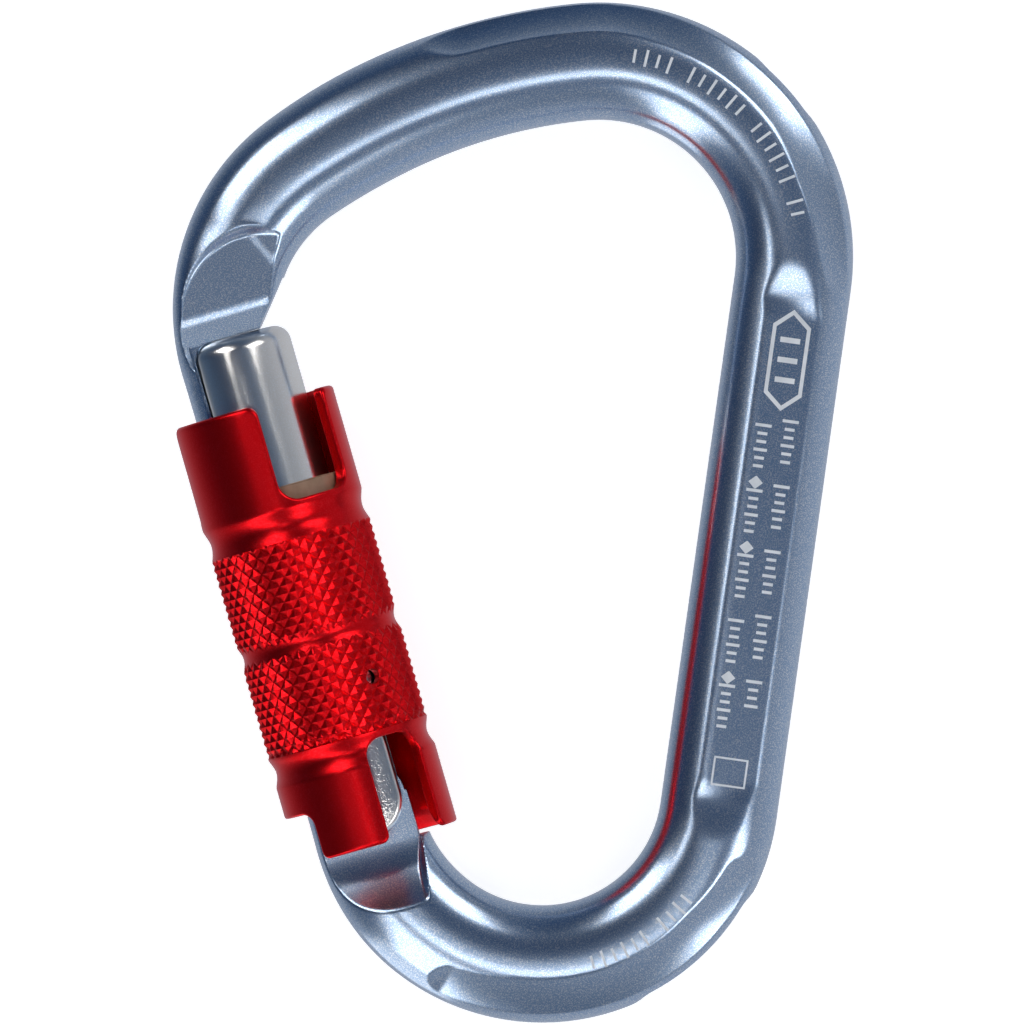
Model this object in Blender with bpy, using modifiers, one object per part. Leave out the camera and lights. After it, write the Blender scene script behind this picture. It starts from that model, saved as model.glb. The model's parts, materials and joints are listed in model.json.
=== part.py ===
"""Twist-lock pear-shaped carabiner, closed and locked, built as separate pieces.

World frame: the carabiner lies in the XY plane with its mid-plane at Z = 0, +Y runs along
the spine towards the wide end, the spine is at +X and the gate at -X.

Gate frame (the empty GATE_LINE): origin on the hinge axis, local Z up the gate's centre
line to the nose, local X towards the inside of the carabiner and local Y to the back.
An azimuth is measured round the gate's line: 0 faces the front, 90 the inside.
"""
import math

import bmesh
import bpy
from mathutils import Matrix, Vector

MM = 0.001

# Frame bar
BAR_HALF_WIDTH = 6.45 * MM
BAR_HALF_THICK = 5.3 * MM
BAR_SQUARENESS = 2.5
SECTION_POINTS = 24
SPINE_X = 30.3 * MM
TOP_RADIUS = 21.5 * MM
TOP_CENTRE_Y = 28.3 * MM
ROOF_RADIUS = 64.0 * MM
NOSE_BEND_RADIUS = 19.8 * MM
NOSE_BEND_HEIGHT = 50.2 * MM
NOSE_LINE_OFFSET = -0.9 * MM
NOSE_END_SCALE = 0.86
BASE_RADIUS = 19.6 * MM
BASE_CENTRE_Y = -30.2 * MM
TANG_END_SCALE = 0.955
ARC_STEP = math.radians(6.0)
PANEL_LEVEL = 4.85 * MM
PANEL_HALF_WIDTH = 2.85 * MM
PANEL_CENTRE_X = 30.8 * MM
PANEL_LOW_Y = -30.5 * MM
PANEL_HIGH_Y = 29.0 * MM

# Hinge and gate line
PIVOT = Vector((-8.3 * MM, -34.5 * MM, 0.0))
GATE_LEAN = math.radians(24.0)
GATE_RADIUS = 6.1 * MM
GATE_TOP = 53.0 * MM
GATE_FOOT = 9.0 * MM
GATE_FLAT = 4.65 * MM
GATE_FLAT_LOW = 44.5 * MM
FORK_HALF_WIDTH = 4.05 * MM
FORK_HALF_THICK = 4.6 * MM
FORK_SLOT_HALF = 2.9 * MM
FORK_SLOT_TOP = 7.0 * MM
GAP = 0.3 * MM

# Nose of the frame: a thin slab beside the gate and a T-shaped key in the gate's slot
NOSE_UNDERSIDE = 53.3 * MM
NOSE_SLAB_LOW = 46.3 * MM
NOSE_SLAB_HALF = 3.4 * MM
NOSE_STEP = 55.4 * MM
NOSE_FLAT_LEVEL = 3.8 * MM
KEY_OUTER = 6.55 * MM
KEY_INNER = 2.4 * MM
KEY_NECK_HALF = 1.2 * MM
KEY_HEAD_OUTER = 5.2 * MM
KEY_HEAD_HALF = 1.9 * MM
KEY_HEAD_LOW = 37.6 * MM
KEY_HEAD_TOP = 40.4 * MM

# Tang of the frame
TANG_HALF = 2.6 * MM
TANG_RADIUS = 4.92 * MM
TANG_CAM_FLAT = 4.4 * MM
TANG_INSIDE = 4.7 * MM
TANG_STEP = -5.2 * MM
TANG_SCOOP = 11.0 * MM

# Rivet, spring plunger and guide pin
RIVET_RADIUS = 1.3 * MM
RIVET_BORE = 1.6 * MM
RIVET_HEAD_RADIUS = 1.75 * MM
RIVET_HEAD_THICK = 0.5 * MM
SPRING_BORE = 2.2 * MM
SPRING_BORE_TOP = 30.0 * MM
PLUNGER_TIP = 4.7 * MM
PLUNGER_TIP_RADIUS = 1.2 * MM
PLUNGER_HEAD_RADIUS = 1.9 * MM
PIN_HEIGHT = 13.0 * MM
PIN_RADIUS = 0.8 * MM
PIN_BORE = 1.05 * MM
PIN_INNER = 3.2 * MM
PIN_OUTER = 7.35 * MM
PIN_AZIMUTH = 32.0

# Locking sleeve
SLEEVE_RADIUS = 9.08 * MM
SLEEVE_BORE = 7.8 * MM
SLEEVE_TOP = 45.0 * MM
SLEEVE_LOW = -4.9 * MM
GROOVE_RADIUS = 8.62 * MM
NOTCH_LOW = 33.9 * MM
NOTCH_CORNER = 2.2 * MM
FRONT_NOTCH = (3.0, 60.5)
NOSE_NOTCH = (-137.0, -82.0)
CUTOUT_TOP = 6.4 * MM
FRONT_CUTOUT = (10.5, 54.5)
SKIRT_LEVEL = 0.4 * MM
OUTER_SKIRT = (-138.0, -42.0)
SLEEVE_LIFT = 3.0 * MM
SLEEVE_TURN = 58.0

# Pieces between the gate and the sleeve
RING_INNER = 6.4 * MM
RING_OUTER = 7.5 * MM
THRUST_RING_SPAN = (33.1 * MM, 35.7 * MM)
WASHER_SPAN = (18.0 * MM, 18.7 * MM)
BUSH_SPAN = (7.2 * MM, 17.7 * MM)
RETURN_SPRING_SPAN = (19.4 * MM, 32.4 * MM)
RETURN_SPRING_RADIUS = 6.95 * MM
RETURN_SPRING_WIRE = 0.4 * MM
RETURN_SPRING_TURNS = 5
GATE_SPRING_SPAN = (10.9 * MM, 29.4 * MM)
GATE_SPRING_RADIUS = 1.6 * MM
GATE_SPRING_WIRE = 0.28 * MM
GATE_SPRING_TURNS = 9

TURN_STEPS = 56
REACH = 20.0 * MM


def clear_scene():
    for item in list(bpy.data.objects):
        bpy.data.objects.remove(item, do_unlink=True)


def new_collection(name):
    group = bpy.data.collections.new(name)
    bpy.context.scene.collection.children.link(group)
    return group


clear_scene()
PARTS = new_collection("locking_carabiner")
CUTTERS = new_collection("cutters")
GATE_LINE = bpy.data.objects.new("gate_line", None)
GATE_LINE.location = PIVOT
GATE_LINE.rotation_euler = (math.radians(-90.0), 0.0, GATE_LEAN)
PARTS.objects.link(GATE_LINE)


def material(name, colour, roughness, metallic):
    made = bpy.data.materials.new(name)
    made.use_nodes = True
    shader = made.node_tree.nodes["Principled BSDF"]
    shader.inputs["Base Color"].default_value = (*colour, 1.0)
    shader.inputs["Roughness"].default_value = roughness
    shader.inputs["Metallic"].default_value = metallic
    return made


def add_object(name, data, group, parent=None):
    thing = bpy.data.objects.new(name, data)
    thing.parent = parent
    group.objects.link(thing)
    return thing


def as_part(thing, colour, roughness, metallic):
    """Give a finished piece its own material and smooth, sharp-edged shading."""
    thing.data.materials.clear()
    thing.data.materials.append(material(thing.name, colour, roughness, metallic))
    thing.data.shade_smooth()
    thing.data.set_sharp_from_angle(angle=math.radians(35.0))
    return thing


def as_cutter(thing):
    thing.hide_render = True
    thing.display_type = "WIRE"
    return thing


def cut(target, tool, operation="DIFFERENCE", solver="EXACT"):
    step = target.modifiers.new(f"{operation.lower()}_{tool.name}", "BOOLEAN")
    step.operation = operation
    step.solver = solver
    step.object = tool


def mesh_from(name, build):
    """Make a mesh datablock from a function that fills a bmesh."""
    shape = bmesh.new()
    build(shape)
    data = bpy.data.meshes.new(name)
    shape.to_mesh(data)
    shape.free()
    return data


def box(name, low, high, group=None, parent=GATE_LINE):
    """A box between two corners, given in the parent's frame."""
    low, high = Vector(low), Vector(high)
    place = Matrix.Translation((low + high) / 2) @ Matrix.Diagonal((*(high - low), 1.0))
    data = mesh_from(name, lambda shape: bmesh.ops.create_cube(shape, size=1.0, matrix=place))
    return add_object(name, data, group or CUTTERS, parent)


def cylinder(name, radius, start, end, group=None, parent=GATE_LINE, sides=32):
    """A round bar between two points, given in the parent's frame."""
    start, end = Vector(start), Vector(end)
    turn = (end - start).to_track_quat("Z", "Y").to_matrix().to_4x4()
    place = Matrix.Translation((start + end) / 2) @ turn
    data = mesh_from(name, lambda shape: bmesh.ops.create_cone(
        shape, cap_ends=True, segments=sides, radius1=radius, radius2=radius,
        depth=(end - start).length, matrix=place))
    return add_object(name, data, group or CUTTERS, parent)


def turned(name, profile, group, steps=TURN_STEPS):
    """A solid of revolution round the gate's line from a closed (radius, height) outline."""
    data = bpy.data.meshes.new(name)
    count = len(profile)
    rim = [(point, (point + 1) % count) for point in range(count)]
    data.from_pydata([(radius, 0.0, height) for radius, height in profile], rim, [])
    thing = add_object(name, data, group, GATE_LINE)
    spin = thing.modifiers.new("turn", "SCREW")
    spin.steps = steps
    spin.render_steps = steps
    spin.use_merge_vertices = True
    spin.merge_threshold = 0.00001
    return thing


def ring_profile(inner, outer, low, high, bevel=0.2 * MM):
    return [
        (inner, high), (outer - bevel, high), (outer, high - bevel),
        (outer, low + bevel), (outer - bevel, low), (inner, low),
    ]


def round_direction(azimuth, radius, height):
    """A point round the gate's line, from its azimuth in degrees."""
    angle = math.radians(azimuth)
    return Vector((radius * math.sin(angle), -radius * math.cos(angle), height))


def rounded_window(azimuths, heights, corner, round_low=True, round_high=True):
    """An outline on the sleeve's unrolled wall, as (azimuth, height) with rounded corners."""
    left, right = azimuths
    low, high = heights
    reach = math.degrees(corner / SLEEVE_RADIUS)
    outline = []
    corners = [(left, low, 180), (right, low, 270), (right, high, 0), (left, high, 90)]
    for side, level, start in corners:
        if not (round_low if level == low else round_high):
            outline.append((side, level))
            continue
        middle = side + reach if side == left else side - reach
        centre = level + corner if level == low else level - corner
        for step in range(5):
            turn = math.radians(start + 22.5 * step)
            outline.append((middle + reach * math.cos(turn), centre + corner * math.sin(turn)))
    return outline


def wall_cutter(name, outline, inner=6.0 * MM, outer=18.0 * MM):
    """A wedge through the sleeve's wall: the outline lofted from a small radius to a large one."""
    def build(shape):
        rings = []
        for radius in (inner, outer):
            rings.append([shape.verts.new(round_direction(az, radius, h)) for az, h in outline])
        near, far = rings
        count = len(outline)
        for place in range(count):
            after = (place + 1) % count
            shape.faces.new((near[place], near[after], far[after], far[place]))
        bmesh.ops.triangulate(shape, faces=[shape.faces.new(near), shape.faces.new(far)])
        bmesh.ops.recalc_face_normals(shape, faces=shape.faces)
    return as_cutter(add_object(name, mesh_from(name, build), CUTTERS, GATE_LINE))


def curve_to_mesh(thing):
    """Turn a curve into a closed mesh, welding its loose end caps."""
    view = bpy.context.evaluated_depsgraph_get()
    data = bpy.data.meshes.new_from_object(thing.evaluated_get(view))
    shape = bmesh.new()
    shape.from_mesh(data)
    bmesh.ops.remove_doubles(shape, verts=shape.verts, dist=0.00001)
    bmesh.ops.recalc_face_normals(shape, faces=shape.faces)
    shape.to_mesh(data)
    shape.free()
    made = add_object(thing.name + "_mesh", data, PARTS, thing.parent)
    made.matrix_world = thing.matrix_world
    name = thing.name
    bpy.data.objects.remove(thing, do_unlink=True)
    made.name = name
    return made


def coil(name, radius, wire, span, turns, per_turn, colour):
    """A round-wire spring along the gate's line, with its end turns closed up."""
    low, high = span
    points = []
    total = turns * per_turn
    for step in range(total + 1):
        share = step / total
        rise = share - math.sin(2 * math.pi * share) / (2 * math.pi) * 0.35
        angle = 2 * math.pi * turns * share
        height = low + wire + (high - low - 2 * wire) * rise
        points.append((radius * math.cos(angle), radius * math.sin(angle), height))
    data = bpy.data.curves.new(name, "CURVE")
    data.dimensions = "3D"
    data.bevel_depth = wire
    data.bevel_resolution = 2
    data.use_fill_caps = True
    line = data.splines.new("POLY")
    line.points.add(total)
    for knot, place in zip(line.points, points):
        knot.co = (*place, 1.0)
    thing = add_object(name, data, PARTS, GATE_LINE)
    bpy.context.view_layer.update()
    made = curve_to_mesh(thing)
    return as_part(made, colour, 0.35, 1.0)


# ---------------------------------------------------------------- frame bar

def gate_point(inside, up):
    """World position of a point in the carabiner's plane, from gate-frame distances."""
    across = Vector((math.cos(GATE_LEAN), math.sin(GATE_LEAN), 0.0))
    along = Vector((-math.sin(GATE_LEAN), math.cos(GATE_LEAN), 0.0))
    return PIVOT + across * inside + along * up


def arc(centre, radius, start, end):
    """Points of an arc, end points included."""
    count = max(2, round(abs(end - start) * max(1.0, radius / (25 * MM)) / ARC_STEP))
    points = []
    for step in range(count + 1):
        angle = start + (end - start) * step / count
        points.append(centre + Vector((math.cos(angle), math.sin(angle), 0.0)) * radius)
    return points


def heading(start, end):
    return math.atan2(end.y - start.y, end.x - start.x)


def bar_path():
    """The bar's centre line from the tang, round the base and spine, to the nose."""
    base = Vector((SPINE_X - BASE_RADIUS, BASE_CENTRE_Y, 0.0))
    top = Vector((SPINE_X - TOP_RADIUS, TOP_CENTRE_Y, 0.0))
    nose = gate_point(NOSE_LINE_OFFSET + NOSE_BEND_RADIUS, NOSE_BEND_HEIGHT)
    # The roof's arc touches both bends inside, so its centre is at two known distances.
    to_top = ROOF_RADIUS - TOP_RADIUS
    to_nose = ROOF_RADIUS - NOSE_BEND_RADIUS
    gap = (nose - top).length
    along = (gap ** 2 + to_top ** 2 - to_nose ** 2) / (2 * gap)
    aside = math.sqrt(to_top ** 2 - along ** 2)
    line = (nose - top) / gap
    roof = top + line * along + Vector((-line.y, line.x, 0.0)) * aside
    gate_side = math.pi + GATE_LEAN
    right_end = heading(roof, top)
    left_end = heading(roof, nose)
    tang_foot = base + Vector((math.cos(gate_side), math.sin(gate_side), 0.0)) * BASE_RADIUS
    offset = (tang_foot - PIVOT).dot(gate_point(1.0, 0.0) - PIVOT)
    points = [gate_point(offset, 0.0)]
    points += arc(base, BASE_RADIUS, gate_side, 2 * math.pi)
    points += arc(top, TOP_RADIUS, 0.0, right_end)
    points += arc(roof, ROOF_RADIUS, right_end, left_end)[1:]
    points += arc(nose, NOSE_BEND_RADIUS, left_end, gate_side)[1:]
    points.append(gate_point(NOSE_LINE_OFFSET, NOSE_SLAB_LOW))
    return points


def bar_section():
    """The bar's section as a closed curve: a squared oval, wider than it is thick."""
    data = bpy.data.curves.new("bar_section", "CURVE")
    data.dimensions = "2D"
    line = data.splines.new("POLY")
    line.points.add(SECTION_POINTS - 1)
    power = 2.0 / BAR_SQUARENESS
    for step, knot in enumerate(line.points):
        angle = 2 * math.pi * step / SECTION_POINTS
        across, up = math.cos(angle), math.sin(angle)
        x = BAR_HALF_WIDTH * math.copysign(abs(across) ** power, across)
        y = BAR_HALF_THICK * math.copysign(abs(up) ** power, up)
        knot.co = (x, y, 0.0, 1.0)
    line.use_cyclic_u = True
    return as_cutter(add_object("bar_section", data, CUTTERS))


def eased(share):
    return share * share * (3 - 2 * share)


def frame_bar():
    """Sweep the section along the centre line, a little slimmer at the tang and nose."""
    points = bar_path()
    runs = [0.0]
    for before, after in zip(points, points[1:]):
        runs.append(runs[-1] + (after - before).length)
    total = runs[-1]
    data = bpy.data.curves.new("body_frame", "CURVE")
    data.dimensions = "3D"
    data.twist_mode = "Z_UP"
    data.bevel_mode = "OBJECT"
    data.bevel_object = bar_section()
    data.use_fill_caps = True
    line = data.splines.new("POLY")
    line.points.add(len(points) - 1)
    for knot, place, run in zip(line.points, points, runs):
        from_nose = min(1.0, (total - run) / (40 * MM))
        from_tang = min(1.0, run / (16 * MM))
        knot.co = (*place, 1.0)
        knot.radius = min(NOSE_END_SCALE + (1 - NOSE_END_SCALE) * eased(from_nose),
                          TANG_END_SCALE + (1 - TANG_END_SCALE) * eased(from_tang))
    thing = add_object("body_frame", data, PARTS)
    bpy.context.view_layer.update()
    return curve_to_mesh(thing)


def side_cutters(name, shape_function):
    """The same cutter on the front and on the back of the carabiner."""
    return [as_cutter(shape_function(f"{name}_{side}", sign))
            for side, sign in (("front", -1.0), ("back", 1.0))]


def face_slab(level, low, high):
    """Makes a box cutter that leaves a flat at a given level over a stretch of the gate line."""
    def build(name, sign):
        near, far = sorted((sign * level, sign * REACH))
        return box(name, (-REACH, near, low), (REACH, far, high))
    return build


def face_disc(level, radius, inside, up):
    """Makes a round cutter that leaves a flat with an arc-shaped edge."""
    def build(name, sign):
        return cylinder(name, radius, (inside, sign * level, up), (inside, sign * REACH, up), sides=48)
    return build


def tang_scoop(name, sign):
    """A round cutter across the bar that thins it smoothly towards the tang."""
    level = sign * (TANG_HALF + TANG_SCOOP)
    return cylinder(name, TANG_SCOOP, (-REACH, level, TANG_STEP), (REACH, level, TANG_STEP), sides=96)


def panel_cutter(name, sign):
    """A long round-ended cutter for the flat panel on the spine."""
    def build(shape):
        rings = []
        for level in (PANEL_LEVEL, 2 * BAR_HALF_THICK):
            ring = []
            for middle, start in ((PANEL_HIGH_Y, 0.0), (PANEL_LOW_Y, math.pi)):
                for step in range(9):
                    angle = start + math.pi * step / 8
                    ring.append(shape.verts.new((
                        PANEL_CENTRE_X + PANEL_HALF_WIDTH * math.cos(angle),
                        middle + PANEL_HALF_WIDTH * math.sin(angle), -sign * level)))
            rings.append(ring)
        near, far = rings
        shape.faces.new(near)
        shape.faces.new(far)
        for place in range(len(near)):
            after = (place + 1) % len(near)
            shape.faces.new((near[place], near[after], far[after], far[place]))
        bmesh.ops.recalc_face_normals(shape, faces=shape.faces)
    return add_object(name, mesh_from(name, build), CUTTERS)


def body_frame():
    """The forged frame: bar, flat panels, slim nose with its key, and the tang."""
    frame = frame_bar()
    eye = cylinder("tang_eye", TANG_RADIUS, (0, -BAR_HALF_THICK, 0), (0, BAR_HALF_THICK, 0), sides=40)
    # The exact solver leaves holes where the eye meets the swept bar's end, hence MANIFOLD.
    cut(frame, as_cutter(eye), "UNION", "MANIFOLD")
    tools = []
    tools += side_cutters("spine_panel", panel_cutter)
    tools += side_cutters("nose_flat", face_disc(NOSE_FLAT_LEVEL, 8.9 * MM, 4.0 * MM, 54.5 * MM))
    tools += side_cutters("nose_slab", face_slab(NOSE_SLAB_HALF, 40 * MM, NOSE_STEP))
    tools += side_cutters("tang_scoop", tang_scoop)
    tools += side_cutters("tang_thin", face_slab(TANG_HALF, TANG_STEP, 8 * MM))
    seat = box("gate_seat", (-GATE_FLAT - GAP, -REACH, 45 * MM), (REACH, REACH, NOSE_UNDERSIDE))
    chin = box("nose_chin", (-2 * MM, -REACH, -6 * MM), (5.4 * MM, REACH, 0.0))
    chin.location = (3.6 * MM, 0.0, 53.7 * MM)
    chin.rotation_euler = (0.0, math.radians(-50.0), 0.0)
    inside = box("tang_inside", (TANG_INSIDE, -REACH, TANG_STEP), (REACH, REACH, 8 * MM))
    cam = box("cam_flat", (-REACH, -REACH, TANG_CAM_FLAT), (REACH, REACH, 8 * MM))
    bore = cylinder("rivet_bore", RIVET_BORE, (0, -REACH, 0), (0, REACH, 0))
    tools += [as_cutter(tool) for tool in (seat, chin, inside, cam, bore)]
    for tool in tools:
        cut(frame, tool, "DIFFERENCE", "MANIFOLD")
    neck = box("key_neck", (-KEY_OUTER, -KEY_NECK_HALF, KEY_HEAD_TOP - MM),
               (-KEY_INNER, KEY_NECK_HALF, NOSE_UNDERSIDE + MM))
    head = box("key_head", (-KEY_HEAD_OUTER, -KEY_HEAD_HALF, KEY_HEAD_LOW),
               (-KEY_INNER - 0.05 * MM, KEY_HEAD_HALF, KEY_HEAD_TOP))
    for tool in (neck, head):
        cut(frame, as_cutter(tool), "UNION", "MANIFOLD")
    return as_part(frame, (0.42, 0.50, 0.60), 0.3, 1.0)


# ---------------------------------------------------------------- gate and its small pieces

def fork_outline_mesh(name):
    """The gate's foot: a flat bar whose lower end is round about the hinge axis."""
    def build(shape):
        rings = []
        for level in (-FORK_HALF_THICK, FORK_HALF_THICK):
            ring = [shape.verts.new((FORK_HALF_WIDTH, level, GATE_FOOT + MM)),
                    shape.verts.new((-FORK_HALF_WIDTH, level, GATE_FOOT + MM))]
            for step in range(17):
                angle = math.pi + math.pi * step / 16
                ring.append(shape.verts.new((FORK_HALF_WIDTH * math.cos(angle), level,
                                             FORK_HALF_WIDTH * math.sin(angle))))
            rings.append(ring)
        near, far = rings
        shape.faces.new(near)
        shape.faces.new(far)
        for place in range(len(near)):
            after = (place + 1) % len(near)
            shape.faces.new((near[place], near[after], far[after], far[place]))
        bmesh.ops.recalc_face_normals(shape, faces=shape.faces)
    return mesh_from(name, build)


def gate():
    """The gate bar: round, with a forked foot, a spring bore and a T-slot for the nose key."""
    corner = 1.8 * MM
    profile = [(0.0, GATE_TOP)]
    for step in range(6):
        angle = math.radians(90 - 18 * step)
        profile.append((GATE_RADIUS - corner + corner * math.cos(angle),
                        GATE_TOP - corner + corner * math.sin(angle)))
    profile += [(GATE_RADIUS, GATE_FOOT), (0.0, GATE_FOOT)]
    bar = turned("gate", profile, PARTS, steps=48)
    foot = add_object("gate_fork", fork_outline_mesh("gate_fork"), CUTTERS, GATE_LINE)
    cut(bar, as_cutter(foot), "UNION")
    slot_side = -KEY_INNER + GAP
    slot_low = KEY_HEAD_LOW - 0.7 * MM
    neck = KEY_NECK_HALF + GAP
    head = KEY_HEAD_HALF + GAP
    pin = [round_direction(PIN_AZIMUTH, radius, PIN_HEIGHT) for radius in (PIN_INNER - GAP, REACH)]
    tools = [
        box("outer_flat", (-REACH, -REACH, GATE_FLAT_LOW), (-GATE_FLAT, REACH, GATE_TOP + MM)),
        box("neck_slot", (-REACH, -neck, slot_low), (slot_side, neck, GATE_TOP + MM)),
        box("head_slot", (-REACH, -head, slot_low), (slot_side, head, KEY_HEAD_TOP + 0.4 * MM)),
        box("fork_slot", (-REACH, -FORK_SLOT_HALF, -REACH), (REACH, FORK_SLOT_HALF, FORK_SLOT_TOP)),
        cylinder("fork_bore", RIVET_BORE, (0, -REACH, 0), (0, REACH, 0)),
        cylinder("spring_bore", SPRING_BORE, (0, 0, 0), (0, 0, SPRING_BORE_TOP)),
        cylinder("pin_bore", PIN_BORE, *pin, sides=20),
    ]
    for tool in tools:
        cut(bar, as_cutter(tool))
    return as_part(bar, (0.62, 0.62, 0.61), 0.35, 1.0)


def hinge_rivet():
    """A rivet across the fork, with a low head on each side."""
    reach = FORK_HALF_THICK + GAP
    head = reach + RIVET_HEAD_THICK
    bevel = 0.25 * MM
    profile = [
        (0.0, head), (RIVET_HEAD_RADIUS - bevel, head), (RIVET_HEAD_RADIUS, head - bevel),
        (RIVET_HEAD_RADIUS, reach), (RIVET_RADIUS, reach), (RIVET_RADIUS, -reach),
        (RIVET_HEAD_RADIUS, -reach), (RIVET_HEAD_RADIUS, bevel - head),
        (RIVET_HEAD_RADIUS - bevel, -head), (0.0, -head),
    ]
    rivet = turned("hinge_rivet", profile, PARTS, steps=32)
    rivet.rotation_euler = (math.radians(90.0), 0.0, 0.0)
    return as_part(rivet, (0.55, 0.55, 0.56), 0.3, 1.0)


def spring_plunger():
    """The pusher under the gate spring, whose tip bears on the tang's cam flat."""
    shoulder = PLUNGER_TIP + 3.3 * MM
    top = shoulder + 2.6 * MM
    bevel = 0.4 * MM
    profile = [
        (0.0, top), (PLUNGER_HEAD_RADIUS - bevel, top), (PLUNGER_HEAD_RADIUS, top - bevel),
        (PLUNGER_HEAD_RADIUS, shoulder), (PLUNGER_TIP_RADIUS, shoulder),
        (PLUNGER_TIP_RADIUS, PLUNGER_TIP + bevel), (PLUNGER_TIP_RADIUS - bevel, PLUNGER_TIP),
        (0.0, PLUNGER_TIP),
    ]
    return as_part(turned("spring_plunger", profile, PARTS, steps=24), (0.6, 0.58, 0.5), 0.3, 1.0)


def guide_pin():
    """The pin pressed into the gate that keeps the sleeve on its track."""
    ends = [round_direction(PIN_AZIMUTH, radius, PIN_HEIGHT) for radius in (PIN_INNER, PIN_OUTER)]
    pin = cylinder("guide_pin", PIN_RADIUS, *ends, group=PARTS, sides=20)
    return as_part(pin, (0.5, 0.5, 0.52), 0.3, 1.0)


# ---------------------------------------------------------------- sleeve and its small pieces

def groove(high, low):
    """A shallow round groove on the sleeve, as profile points from top to bottom."""
    points = []
    for step in range(5):
        share = step / 4
        dip = math.sin(math.pi * share)
        radius = SLEEVE_RADIUS - (SLEEVE_RADIUS - GROOVE_RADIUS) * dip
        points.append((radius, high + (low - high) * share))
    return points


def locking_sleeve():
    """The sleeve: three grooves outside, open notches at both ends, a chamfered lower bore."""
    edge = 0.5 * MM
    profile = [(SLEEVE_BORE, SLEEVE_TOP - 0.2 * MM), (SLEEVE_BORE + 0.2 * MM, SLEEVE_TOP),
               (SLEEVE_RADIUS - edge, SLEEVE_TOP), (SLEEVE_RADIUS - 0.15 * MM, SLEEVE_TOP - 0.15 * MM),
               (SLEEVE_RADIUS, SLEEVE_TOP - edge)]
    for high, low in ((33.3, 29.5), (20.2, 16.9), (7.2, 3.9)):
        profile += groove(high * MM, low * MM)
    profile += [(SLEEVE_RADIUS, SLEEVE_LOW + edge), (SLEEVE_RADIUS - 0.15 * MM, SLEEVE_LOW + 0.15 * MM),
                (SLEEVE_RADIUS - edge, SLEEVE_LOW), (SLEEVE_BORE + 0.7 * MM, SLEEVE_LOW),
                (SLEEVE_BORE, SLEEVE_LOW + 2.0 * MM)]
    sleeve = turned("locking_sleeve", profile, PARTS)
    above = SLEEVE_TOP + 4 * MM
    below = SLEEVE_LOW - 4 * MM
    pin = [round_direction(PIN_AZIMUTH, radius, PIN_HEIGHT) for radius in (RING_INNER, REACH)]
    tools = [
        wall_cutter("front_notch", rounded_window(FRONT_NOTCH, (NOTCH_LOW, above), NOTCH_CORNER)),
        wall_cutter("nose_notch", rounded_window(NOSE_NOTCH, (NOTCH_LOW, above), 1.5 * MM)),
        wall_cutter("front_cutout", rounded_window(FRONT_CUTOUT, (below, CUTOUT_TOP), NOTCH_CORNER)),
        wall_cutter("outer_skirt", rounded_window(OUTER_SKIRT, (below, SKIRT_LEVEL), 1.5 * MM)),
        as_cutter(cylinder("assembly_hole", 0.85 * MM, *pin, sides=16)),
    ]
    for tool in tools:
        cut(sleeve, tool)
    return as_part(sleeve, (0.55, 0.02, 0.03), 0.4, 1.0)


def guide_bush():
    """The bush inside the sleeve, with the window that the guide pin travels in."""
    low, high = BUSH_SPAN
    bush = turned("guide_bush", ring_profile(RING_INNER, RING_OUTER, low, high), PARTS, steps=48)
    room = math.degrees((PIN_RADIUS + GAP) / RING_INNER) + 1.0
    azimuths = (PIN_AZIMUTH - SLEEVE_TURN - room, PIN_AZIMUTH + room)
    heights = (PIN_HEIGHT - SLEEVE_LIFT - PIN_RADIUS - GAP, PIN_HEIGHT + PIN_RADIUS + GAP)
    outline = rounded_window(azimuths, heights, 0.9 * MM)
    cut(bush, wall_cutter("pin_window", outline, inner=4.5 * MM, outer=14.0 * MM))
    return as_part(bush, (0.06, 0.06, 0.065), 0.5, 0.0)


def plain_ring(name, span, colour, roughness, metallic):
    profile = ring_profile(RING_INNER, RING_OUTER, *span)
    return as_part(turned(name, profile, PARTS, steps=48), colour, roughness, metallic)


body_frame()
gate()
hinge_rivet()
spring_plunger()
guide_pin()
coil("gate_spring", GATE_SPRING_RADIUS, GATE_SPRING_WIRE, GATE_SPRING_SPAN, GATE_SPRING_TURNS, 10,
     (0.6, 0.6, 0.62))
locking_sleeve()
guide_bush()
plain_ring("spring_washer", WASHER_SPAN, (0.6, 0.6, 0.6), 0.3, 1.0)
plain_ring("thrust_ring", THRUST_RING_SPAN, (0.55, 0.42, 0.30), 0.5, 0.0)
coil("return_spring", RETURN_SPRING_RADIUS, RETURN_SPRING_WIRE, RETURN_SPRING_SPAN,
     RETURN_SPRING_TURNS, 20, (0.6, 0.6, 0.62))
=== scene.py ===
"""Looks of the twist-lock carabiner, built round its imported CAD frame.

The frame stays as packed. The forged body, the gate bar and the sleeve are rebuilt here as fine
meshes in the same place, the small pieces keep their CAD shape, and every piece gets a
procedural finish. Lengths are metres, in the CAD's own frame: the carabiner lies in the XY
plane with its front towards +Z, its spine at +X and its gate at -X.
"""
import json
import math

import bmesh
import bpy
import numpy as np
from mathutils import Matrix, Vector
from mathutils.bvhtree import BVHTree


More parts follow.
